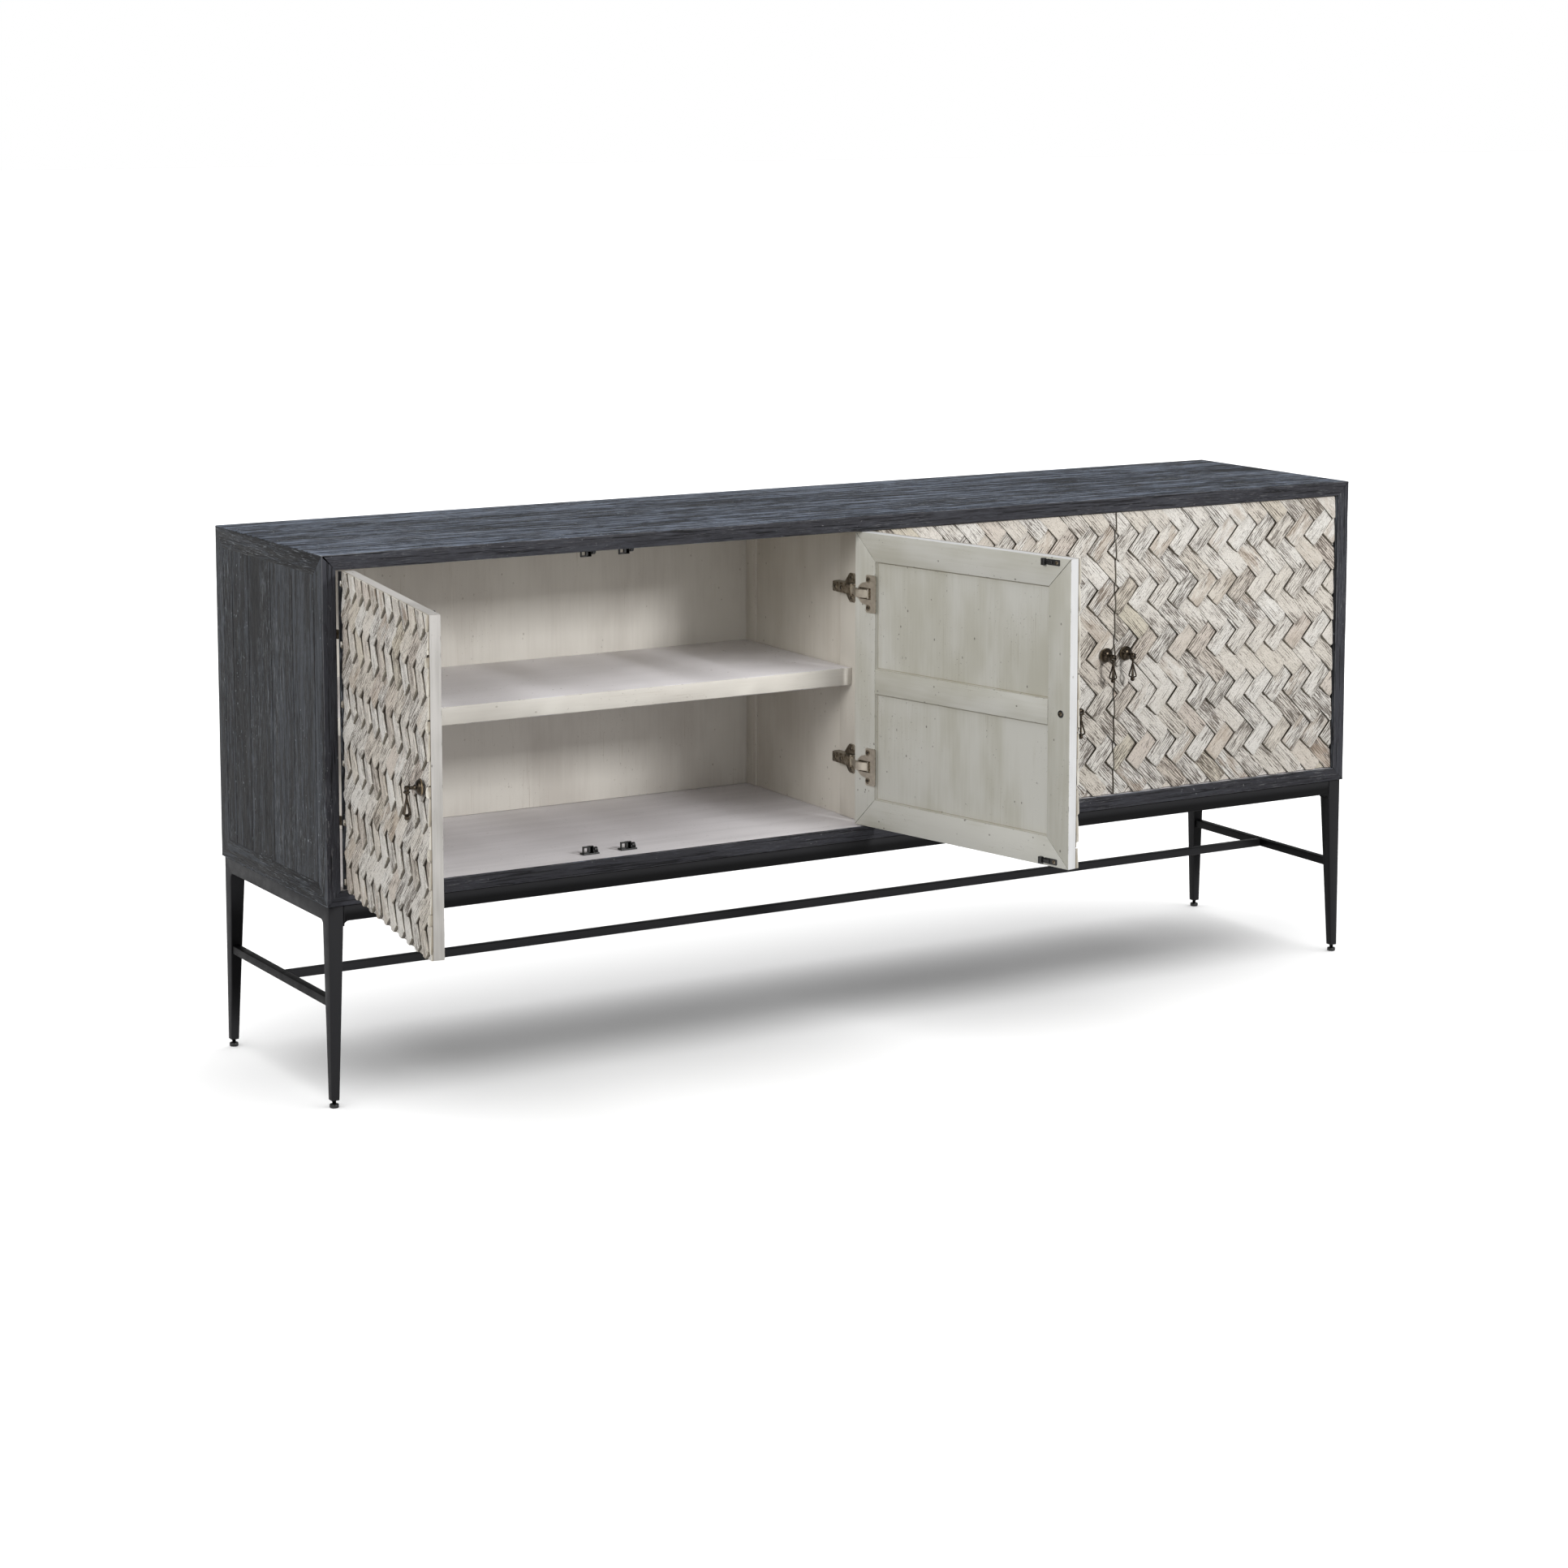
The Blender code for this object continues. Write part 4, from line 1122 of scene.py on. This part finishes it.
# ---------------------------------------------------------------- hinges


def add_screw(piece, origin, normal, radius, proud, slot, spin=0.4):
    """A countersunk screw head with a cross recess, which is in the third slot if the piece has one: there a
    dark cross a little proud of the head stands in as painted shade for the recess.
    """
    normal = Vector(normal).normalized()
    other = Vector((0, 0, 1)) if abs(normal.z) < 0.9 else Vector((1, 0, 0))
    x = other.cross(normal).normalized()
    matrix = axes(x, normal.cross(x), normal, origin) @ Matrix.Rotation(spin, 4, "Z")
    head = [(0.0, -0.0010), (radius, -0.0010), (radius, 0.0), (radius * 0.82, proud * 0.8)]
    head += [(radius * 0.4, proud), (radius * 0.22, proud - 0.0004), (0.0, proud - 0.0011)]
    piece.add(lathe(head, 24), slot=slot, matrix=matrix)
    reach, half = radius * 0.62, radius * 0.13
    recess_shade_slot = 2 if len(piece.materials) > 2 else slot
    for a, b in ((reach, half), (half, reach)):
        points, faces, _ = rounded_box((-a, -b, proud - 0.0006), (a, b, proud + 0.00012), 0.00005)
        piece.add((points, faces, np.full(len(points), -1.0)), slot=recess_shade_slot, matrix=matrix)


def with_window(outline, window, low, high):
    """A plate from z low to z high with a window in it."""
    loops = [[Vector((x, y, 0)) for x, y in loop] for loop in (outline, window)]
    flat = loops[0] + loops[1]
    count = len(flat)
    points = [(p.x, p.y, low) for p in flat] + [(p.x, p.y, high) for p in flat]
    faces = []
    for a, b, c in tessellate_polygon(loops):
        up = [a, b, c] if (flat[b] - flat[a]).cross(flat[c] - flat[a]).z > 0 else [a, c, b]
        faces += [[i + count for i in up], up[::-1]]
    for start, loop, outward in ((0, loops[0], True), (len(outline), loops[1], False)):
        area = sum(p.x * q.y - q.x * p.y for p, q in zip(loop, loop[1:] + loop[:1]))
        for i in range(len(loop)):
            a, b = start + i, start + (i + 1) % len(loop)
            face = [a, b, b + count, a + count]
            faces.append(face if (area > 0) == outward else face[::-1])
    return np.array(points), faces, np.array([0.0] * count + [0.9] * count)


def open_tray(window, top, floor, wall):
    """A pocket hanging from a window: four thin walls and a floor, as one closed shape."""
    x0, x1 = min(p[0] for p in window), max(p[0] for p in window)
    y0, y1 = min(p[1] for p in window), max(p[1] for p in window)
    outer = [(x0 - wall, y0 - wall), (x1 + wall, y0 - wall), (x1 + wall, y1 + wall), (x0 - wall, y1 + wall)]
    inner = [(x0, y0), (x1, y0), (x1, y1), (x0, y1)]
    levels = ((outer, top - 0.0002), (outer, floor - wall), (inner, top - 0.0002), (inner, floor))
    points = [(x, y, z) for ring, z in levels for x, y in ring]
    faces = [[7, 6, 5, 4], [12, 13, 14, 15]]
    for i in range(4):
        j = (i + 1) % 4
        faces += [[4 + i, 4 + j, j, i], [i, j, 8 + j, 8 + i], [8 + i, 8 + j, 12 + j, 12 + i]]
    return np.array(points), faces, np.array([0.0] * 12 + [-1.0] * 4)


def build_cup(name, label, z):
    """The door half of a hinge: the flange with two screws, the cup's rim and the pocket in it.

    x is how far in from the door's hinge edge, y is up, and z is out of the door's back."""
    hinge_x, _, way = door_edges(name)
    piece = Piece(f"{name}_{label}_cup_flange", [NICKEL, BRASS_DARK, BLACK])
    place = axes((way, 0, 0), (0, 0, 1), (0, 1, 0), (hinge_x, DOOR_BACK + 0.0002, z))
    near, far, half, rim = 0.0275, 0.0505, 0.0320, 0.0188
    outline = [(near + 0.0025, -half), (far - 0.0025, -half), (far - 0.0006, -half + 0.0009)]
    outline += [(far, -half + 0.003), (far, half - 0.003), (far - 0.0006, half - 0.0009)]
    outline += [(far - 0.0025, half), (near + 0.0025, half), (near + 0.0006, half - 0.0009)]
    outline += [(near, half - 0.003), (near, 0.0185)]
    for k in range(13):
        a = math.radians(98 + 164 * k / 12)
        outline.append((CUP_IN + rim * math.cos(a), rim * math.sin(a)))
    outline += [(near, -0.0185), (near, -half + 0.003), (near + 0.0006, -half + 0.0009)]
    window = [(0.0125, -0.0098), (0.0395, -0.0098), (0.0395, 0.0098), (0.0125, 0.0098)]
    dish = [(0.0, -0.0102), (0.0168, -0.0102), (0.0172, -0.0098), (0.0172, -0.0004), (0.0, -0.0004)]
    piece.add(with_window(outline, window, -0.0002, 0.0015), matrix=place)
    piece.add(open_tray(window, 0.0015, -0.0098, 0.0008), matrix=place)
    piece.add(lathe(dish, 40), matrix=place @ Matrix.Translation((CUP_IN, 0, 0)))
    bar = rounded_box((0.0300, -0.0088, -0.004), (0.0335, 0.0088, 0.0022), 0.0009, (WHOLE, 0.01, WHOLE))
    piece.add(bar, matrix=place)
    pin = tube([(0.0362, -0.0096, -0.001), (0.0362, 0.0096, -0.001)], 0.0016, 16)
    piece.add(pin, slot=1, matrix=place)
    boss = [(0.0, 0.0008), (0.0056, 0.0008), (0.0054, 0.0017), (0.0044, 0.0020), (0.0, 0.0020)]
    screw_x, screw_y, screw_z = 0.0335, 0.0240, 0.0013
    for up in (-1, 1):
        origin = place @ Vector((screw_x, up * screw_y, screw_z))
        add_screw(piece, origin, place.to_3x3() @ Vector((0, 0, 1)), 0.0040, 0.0010, 1, 0.3 * up)
        piece.add(lathe(boss, 28), matrix=place @ Matrix.Translation((screw_x, up * screw_y, 0.0)))
    piece.finish(f"{name}_door", "hinge_nickel", [f"{name}_{label}_hinge_cup"], door_turn(name))


def build_arm(name, label, z):
    """The case half of a hinge: a winged plate and a channel arm with its screws, then the link.

    x is how far behind the case's front, y is up, and z is out of the wall that the plate is on."""
    _, _, way = door_edges(name)
    half_wall = (WALL_HI.x - WALL_LO.x) / 2
    wall = CENTRE_X + (-way * SIDE_IN if name.endswith("outer") else way * half_wall)
    face = wall + way * 0.0003
    place = axes((0, 1, 0), (0, 0, 1), (way, 0, 0), (face, FRONT, z))
    piece = Piece(f"{name}_{label}_hinge_mount", [NICKEL, BRASS_DARK, BLACK])
    wing = [(0.0500, -0.0090), (0.0540, -0.0215), (0.0580, -0.0250), (0.0700, -0.0250), (0.0745, -0.0215)]
    wing += [(0.0860, -0.0090), (0.0860, 0.0090), (0.0745, 0.0215), (0.0700, 0.0250)]
    wing += [(0.0580, 0.0250), (0.0540, 0.0215), (0.0500, 0.0090)]
    piece.add(prism(wing, 0.0, 0.0024, 0.0006), matrix=place)
    for up in (-1, 1):
        origin = place @ Vector((0.0645, up * 0.0178, 0.0022))
        add_screw(piece, origin, (way, 0, 0), 0.0040, 0.0011, 1, 0.5 * up)
    cheek = [(0.0460, 0.0020), (0.1040, 0.0020), (0.1040, 0.0120)]
    cheek += [(0.1015, 0.0150), (0.0620, 0.0160), (0.0460, 0.0160)]
    turn = axes((0, 1, 0), (way, 0, 0), (0, 0, 1), (face, FRONT, z))
    for low, high in ((-0.0090, -0.0076), (0.0076, 0.0090)):
        piece.add(prism(cheek, low, high), matrix=turn)
    web = [(0.0460, -0.0090), (0.1020, -0.0090), (0.1040, -0.0070)]
    web += [(0.1040, 0.0070), (0.1020, 0.0090), (0.0460, 0.0090)]
    piece.add(prism(web, 0.0142, 0.0160, 0.0006), matrix=place)
    for y, r in ((0.0935, 0.0048), (0.0745, 0.0044)):
        ring = [(0.0, 0.0156), (r + 0.0012, 0.0156), (r + 0.0012, 0.0166), (r, 0.0168), (0.0, 0.0168)]
        piece.add(lathe(ring, 28), matrix=place @ Matrix.Translation((y, 0, 0)))
        add_screw(piece, place @ Vector((y, 0, 0.0166)), (way, 0, 0), r * 0.9, 0.0014, 1, 0.9)
    base = rounded_box((0.0480, -0.0074, 0.0020), (0.1000, 0.0074, 0.0105), 0.0008, (0.02, WHOLE, WHOLE))
    piece.add(base, slot=1, matrix=place)
    knuckle = tube([(0.0475, -0.0102, 0.0128), (0.0475, 0.0102, 0.0128)], 0.0030, 18)
    piece.add(knuckle, matrix=place)
    piece.finish("case", "hinge_nickel", [f"{name}_{label}_hinge_arm"])
    build_link(name, label, z, face)


def smoothed(path, steps):
    """A curve through all the points of a path, with so many steps between two of them."""
    curve = []
    for i in range(len(path) - 1):
        p0, p1 = path[max(i - 1, 0)], path[i]
        p2, p3 = path[i + 1], path[min(i + 2, len(path) - 1)]
        for k in range(steps):
            t = k / steps
            slope, bend, twist = p2 - p0, 2 * p0 - 5 * p1 + 4 * p2 - p3, 3 * p1 - p0 - 3 * p2 + p3
            curve.append(0.5 * (2 * p1 + slope * t + bend * t * t + twist * t**3))
    return curve + [path[-1]]


def build_link(name, label, z, face):
    """The hinge's link: one strap from the arm's knuckle to the cup, bending between their bodies."""
    hinge_x, _, way = door_edges(name)
    turn = door_turn(name)
    start = Vector((face + way * 0.0132, FRONT + 0.0475, z))
    bridge = turn @ Vector((hinge_x + way * 0.0140, DOOR_BACK + 0.0060, z))
    end = turn @ Vector((hinge_x + way * 0.0320, DOOR_BACK + 0.0012, z))
    if SHUT_AT[name]:
        leaving, arriving = Vector((way * 0.0015, -0.012, 0)), Vector((0, 0.008, 0))
        path = [start, start + leaving, bridge + arriving, bridge, end]
    else:
        leaving, arriving = Vector((way * 0.004, -0.006, 0)), Vector((0, 0.002, 0))
        path = [start, start + leaving, bridge + arriving, end]
    curve = smoothed(path, 6)
    half, thick = 0.0074, 0.0017
    profile = [(-half, -thick), (half, -thick), (half, thick * 0.2)]
    profile += [(half - 0.0012, thick), (-half + 0.0012, thick), (-half, thick * 0.2)]
    up, off_wall, off_door = Vector((0, 0, 1)), Vector((way, 0, 0)), turn.to_3x3() @ Vector((0, 1, 0))
    points, edge = [], []
    for i, at in enumerate(curve):
        out = heading(curve, i).cross(up)
        if out.dot(off_door if i > len(curve) / 2 else off_wall) < 0:
            out = -out
        for a, b in profile:
            points.append(tuple(at + up * a + out * b))
            edge.append(0.9 if b > 0 else 0.0)
    faces = walls(len(curve), len(profile), capped=True)
    points = np.array(points)
    spokes = points - points.mean(0)
    if sum(np.dot(spokes[f[0]], np.cross(spokes[f[1]], spokes[f[2]])) for f in faces) < 0:
        faces = [f[::-1] for f in faces]
    piece = Piece(f"{name}_{label}_hinge_link", [NICKEL])
    piece.add((points, faces, edge), along=2)
    link = piece.finish(None, "hinge_nickel")
    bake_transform(link)


# ---------------------------------------------------------------- pulls, catches and strikes


def pull_axis(name):
    """x and z of a shut door's pull."""
    _, free_x, way = door_edges(name)
    return free_x - way * PULL_IN, JOINTS[f"{name}_pull"]["pos_m"][2]


def build_rose(name):
    """The round rose on the facing, with its stem and the cross pin that the pendant hangs from."""
    x, z = pull_axis(name)
    base = Piece(f"{name}_rosette", [BRONZE])
    rose = [(0.0, 0.0), (0.0128, 0.0), (0.0129, 0.0010), (0.0127, 0.0020), (0.0121, 0.0026)]
    rose += [(0.0115, 0.0028), (0.0110, 0.0034), (0.0108, 0.0042), (0.0101, 0.0055), (0.0088, 0.0068)]
    rose += [(0.0071, 0.0079), (0.0055, 0.0086), (0.0045, 0.0089), (0.0042, 0.0096), (0.0033, 0.0103)]
    rose += [(0.0027, 0.0112), (0.0024, 0.0130), (0.0024, 0.0168), (0.0031, 0.0176), (0.0037, 0.0190)]
    rose += [(0.0039, 0.0210), (0.0036, 0.0228), (0.0027, 0.0240), (0.0014, 0.0247), (0.0, 0.0249)]
    points, faces, _ = lathe(rose, 48)
    rubbed = np.clip((np.hypot(points[:, 0], points[:, 1]) - 0.0122) * 1500, 0, 0.8)
    out = axes((1, 0, 0), (0, 0, 1), (0, -1, 0), (x, DOOR_FRONT - 0.0002, z))
    base.add((points, faces, rubbed), matrix=out)
    pin_y, reach = DOOR_FRONT - PULL_OUT, 0.0056
    base.add(tube([(x - reach, pin_y, z), (x + reach, pin_y, z)], 0.0011, 12))
    base.finish(f"{name}_door", "bronze", [f"{name}_pull_base"], door_turn(name), smooth=50)


def build_pendant(name):
    """What hangs from the pin: two ears, a turned neck, an open cage of four bars, a collar and a ball."""
    x, z = pull_axis(name)
    drop = Piece(f"{name}_pendant", [BRONZE])
    at = Matrix.Translation((x, DOOR_FRONT - PULL_OUT, z))
    ear_r = 0.0023
    ear = [(-0.0021, -0.0060), (0.0021, -0.0060), (ear_r, 0.0)]
    ear += [(ear_r * math.cos(a), ear_r * math.sin(a)) for a in np.linspace(0.3, 2.85, 7)] + [(-ear_r, 0.0)]
    for low, high in ((-0.0052, -0.0040), (0.0040, 0.0052)):
        drop.add(prism(ear, low, high), matrix=at @ axes((0, 1, 0), (0, 0, 1), (1, 0, 0)))
    neck = [(0.0, -0.0186), (0.0020, -0.0184), (0.0021, -0.0170), (0.0018, -0.0155), (0.0017, -0.0115)]
    neck += [(0.0020, -0.0092), (0.0031, -0.0078), (0.0049, -0.0068), (0.0052, -0.0058), (0.0049, -0.0049)]
    drop.add(lathe(neck + [(0.0, -0.0046)], 28), matrix=at)
    bar = [(0.0010, -0.0165), (0.0018, -0.0200), (0.0029, -0.0245), (0.0043, -0.0295), (0.0057, -0.0335)]
    bar += [(0.0064, -0.0362), (0.0060, -0.0380), (0.0046, -0.0388), (0.0030, -0.0392), (0.0012, -0.0394)]
    for degrees in (45, 135, 225, 315):
        a = math.radians(degrees)
        drop.add(tube([(r * math.cos(a), r * math.sin(a), h) for r, h in bar], 0.00130), matrix=at)
    collar = [(0.0, -0.0402), (0.0024, -0.0402), (0.0030, -0.0396), (0.0030, -0.0388), (0.0020, -0.0380)]
    drop.add(lathe(collar + [(0.0, -0.0378)], 24), matrix=at)
    ball_r, ball_z = 0.0039, -0.0431
    arc = np.linspace(-math.pi / 2, math.pi / 2, 13)
    ball = [(ball_r * math.cos(a), ball_z + ball_r * math.sin(a)) for a in arc]
    ball[0], ball[-1] = (0.0, ball[0][1]), (0.0, ball[-1][1])
    drop.add(lathe(ball, 28), matrix=at)
    drop.finish(f"{name}_pull", "bronze", [f"{name}_pull_pendant"], door_turn(name), smooth=50)


def build_pull_screw(name):
    """The screw and washer on the door's back that hold the rose."""
    x, z = pull_axis(name)
    rear = Piece(f"{name}_pull_screw", [BRASS_DARK, BLACK])
    back = axes((1, 0, 0), (0, 0, -1), (0, 1, 0), (x, DOOR_BACK, z))
    washer = [(0.0, -0.001), (0.0062, -0.001), (0.0062, 0.0004), (0.0054, 0.0010), (0.0046, 0.0011)]
    rear.add(lathe(washer + [(0.0044, 0.0006), (0.0, 0.0006)]), slot=1, matrix=back)
    add_screw(rear, back @ Vector((0, 0, 0.0006)), (0, 1, 0), 0.0036, 0.0012, 0)
    rear.finish(f"{name}_door", "bronze", matrix=door_turn(name))


def build_strikes(name):
    """Two thin plates near the free edge of a door's back, each with a raised lug that the catch grips."""
    _, free_x, way = door_edges(name)
    piece = Piece(f"{name}_strikes", [BLACK, BRASS_DARK])
    plate = [(0.0250, -0.0048), (0.0500, -0.0048), (0.0500, -0.0040), (0.0600, -0.0040), (0.0600, 0.0040)]
    plate += [(0.0500, 0.0040), (0.0500, 0.0048), (0.0250, 0.0048), (0.0240, 0.0036), (0.0240, -0.0036)]
    lug = rounded_box((0.0530, -0.0058, 0.0006), (0.0600, 0.0058, 0.0072), 0.0008)
    neck = rounded_box((0.0390, -0.0030, 0.0012), (0.0550, 0.0030, 0.0042), 0.0008)
    for z in (DOOR_HI_Z - 0.0085, DOOR_LO_Z + 0.0085):
        place = axes((-way, 0, 0), (0, 0, 1), (0, 1, 0), (free_x, DOOR_BACK, z))
        for shape in (prism(plate, 0.0, 0.0018, 0.0004), lug, neck):
            piece.add(shape, matrix=place)
        add_screw(piece, place @ Vector((0.0300, 0, 0.0017)), (0, 1, 0), 0.0034, 0.0010, 1, 0.6)
    piece.finish(f"{name}_door", "catch_black", matrix=door_turn(name))


def build_catch(name, label, up):
    """A roller catch: a base plate, a see-through body with its spring, and two rollers on a post."""
    low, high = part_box(f"{name}_{label}_catch")
    wide, deep, tall = high - low
    piece = Piece(f"{name}_{label}_latch", [BLACK, BRASS_DARK])
    place = axes((1, 0, 0), (0, 1, 0), (0, 0, up), (low.x, low.y, low.z if up > 0 else high.z))
    nip, near, far, floor = 0.0006, 0.0022, 0.0056, 0.0016
    base = [(nip, 0.0), (wide - nip, 0.0), (wide, nip), (wide, deep - nip)]
    base += [(wide - nip, deep), (nip, deep), (0.0, deep - nip), (0.0, nip)]
    piece.add(prism(base, 0.0, 0.0022, 0.0004), matrix=place)
    boxes = []
    for x0, x1 in ((0.0003, 0.0028), (0.0096, 0.0200)):
        boxes.append(((x0, near, floor), (x1, far, tall - 0.0003)))
    for z0, z1 in ((tall - 0.0028, tall - 0.0001), (floor, 0.0038)):
        boxes.append(((0.0003, near, z0), (0.0200, far, z1)))
    boxes.append(((0.0130, near, floor), (0.0196, deep - nip, tall - 0.0016)))
    for box_low, box_high in boxes:
        piece.add(rounded_box(box_low, box_high, 0.0006), matrix=place)
    for x in (0.0238, 0.0268):
        roller = tube([(x - 0.0012, deep / 2, 0.0066), (x + 0.0012, deep / 2, 0.0066)], 0.0043, 20)
        piece.add(roller, matrix=place)
    post = rounded_box((0.0196, 0.0040, floor), (wide - nip, deep - 0.0020, 0.0068), 0.0008)
    piece.add(post, matrix=place)
    piece.finish("case", "catch_black", [f"{name}_{label}_catch"])


# ---------------------------------------------------------------- stage, light and camera


def build_stage():
    """A pale floor that fades into a white surround. The floor's own soft sun leaves the sideboard alone."""
    size = 60.0
    mesh = bpy.data.meshes.new("studio_floor")
    corners = [(-size, -size, 0), (size, -size, 0), (size, size, 0), (-size, size, 0)]
    mesh.from_pydata(corners, [], [(0, 1, 2, 3)])
    floor = linked("studio_floor", mesh)
    look = Look("pale_floor", Roughness=0.9, Specular_IOR_Level=0.0, Base_Color=(0.62, 0.62, 0.62, 1))
    mesh.materials.append(look.material)
    floor.visible_diffuse = False
    only_floor = bpy.data.collections.new("only_floor")
    only_floor.objects.link(floor)
    sun = bpy.data.lights.new("floor_sun", "SUN")
    sun.energy = 6.6
    sun.angle = math.radians(98)
    lamp = linked("floor_sun", sun)
    lamp.rotation_euler = (math.radians(7), math.radians(2), 0)
    lamp.light_linking.receiver_collection = only_floor


def build_surround():
    """A world that is white from a little below the horizon to a little above it, and darker beyond."""
    world = bpy.data.worlds.new("studio")
    bpy.context.scene.world = world
    world.use_nodes = True
    tree = world.node_tree
    direction = tree.nodes.new("ShaderNodeTexCoord").outputs["Generated"]
    height = tree.nodes.new("ShaderNodeSeparateXYZ")
    ramp = tree.nodes.new("ShaderNodeValToRGB")
    lift = tree.nodes.new("ShaderNodeMapRange")
    lift.inputs["From Min"].default_value = -1.0
    tree.links.new(direction, height.inputs[0])
    tree.links.new(height.outputs[2], lift.inputs["Value"])
    tree.links.new(lift.outputs[0], ramp.inputs[0])
    bands = [(0.0, 0.12), (0.44, 0.16), (0.478, 1.0), (0.57, 1.0), (0.64, 0.26), (1.0, 0.42)]
    fill_ramp(ramp, [(position, (value, value, value, 1)) for position, value in bands])
    tree.links.new(ramp.outputs[0], tree.nodes["Background"].inputs["Color"])


def softbox(name, at, target, size, power, receivers):
    """A rectangular light that looks at a target and lights only its receivers."""
    light = bpy.data.lights.new(name, "AREA")
    light.shape = "RECTANGLE"
    light.size, light.size_y = size
    light.energy = power
    lamp = linked(name, light)
    lamp.location = at
    lamp.rotation_euler = (Vector(target) - Vector(at)).to_track_quat("-Z", "Y").to_euler()
    lamp.light_linking.receiver_collection = receivers


def build_light():
    """Soft lights for the sideboard alone: the floor is lit by its own sun and the surround."""
    beyond_floor = bpy.data.collections.new("beyond_floor")
    beyond_floor.objects.link(bpy.data.objects["studio_floor"])
    beyond_floor.collection_objects[0].light_linking.link_state = "EXCLUDE"
    middle = (0.0, 0.2, 0.6)
    softbox("key", (1.45, -4.5, 2.65), middle, (0.8, 0.8), 184.0, beyond_floor)
    softbox("overhead", (-0.3, 0.3, 4.2), (0, 0.3, 0), (5.0, 3.5), 34.0, beyond_floor)
    softbox("left_fill", (-4.6, -2.0, 2.8), middle, (2.2, 1.8), 145.0, beyond_floor)


def build_camera():
    """The photograph's camera, as solved from the case's corners."""
    camera = bpy.data.cameras.new("camera")
    camera.sensor_width = 36.0
    camera.lens = 81.10
    camera.shift_y = -0.15
    camera.clip_end = 100
    holder = linked("camera", camera)
    yaw, pitch = 0.53363, -0.13032
    holder.location = (-3.10752, -4.98525, 1.59783)
    holder.rotation_euler = (math.pi / 2 + pitch, 0, -yaw)
    bpy.context.scene.camera = holder


build_camera()
build_stage()
build_surround()
build_light()
build_case()
build_inside()
build_stand()
for door in DOOR_NAMES:
    build_facing(door)
    build_frame(door)
    for where, at_z in zip(("lower", "upper"), HINGE_Z):
        build_cup(door, where, at_z)
        build_arm(door, where, at_z)
    build_rose(door)
    build_pendant(door)
    build_pull_screw(door)
    build_strikes(door)
for door in DOOR_NAMES:
    build_catch(door, "lower", 1)
    build_catch(door, "upper", -1)
bpy.context.scene.view_settings.view_transform = "Standard"
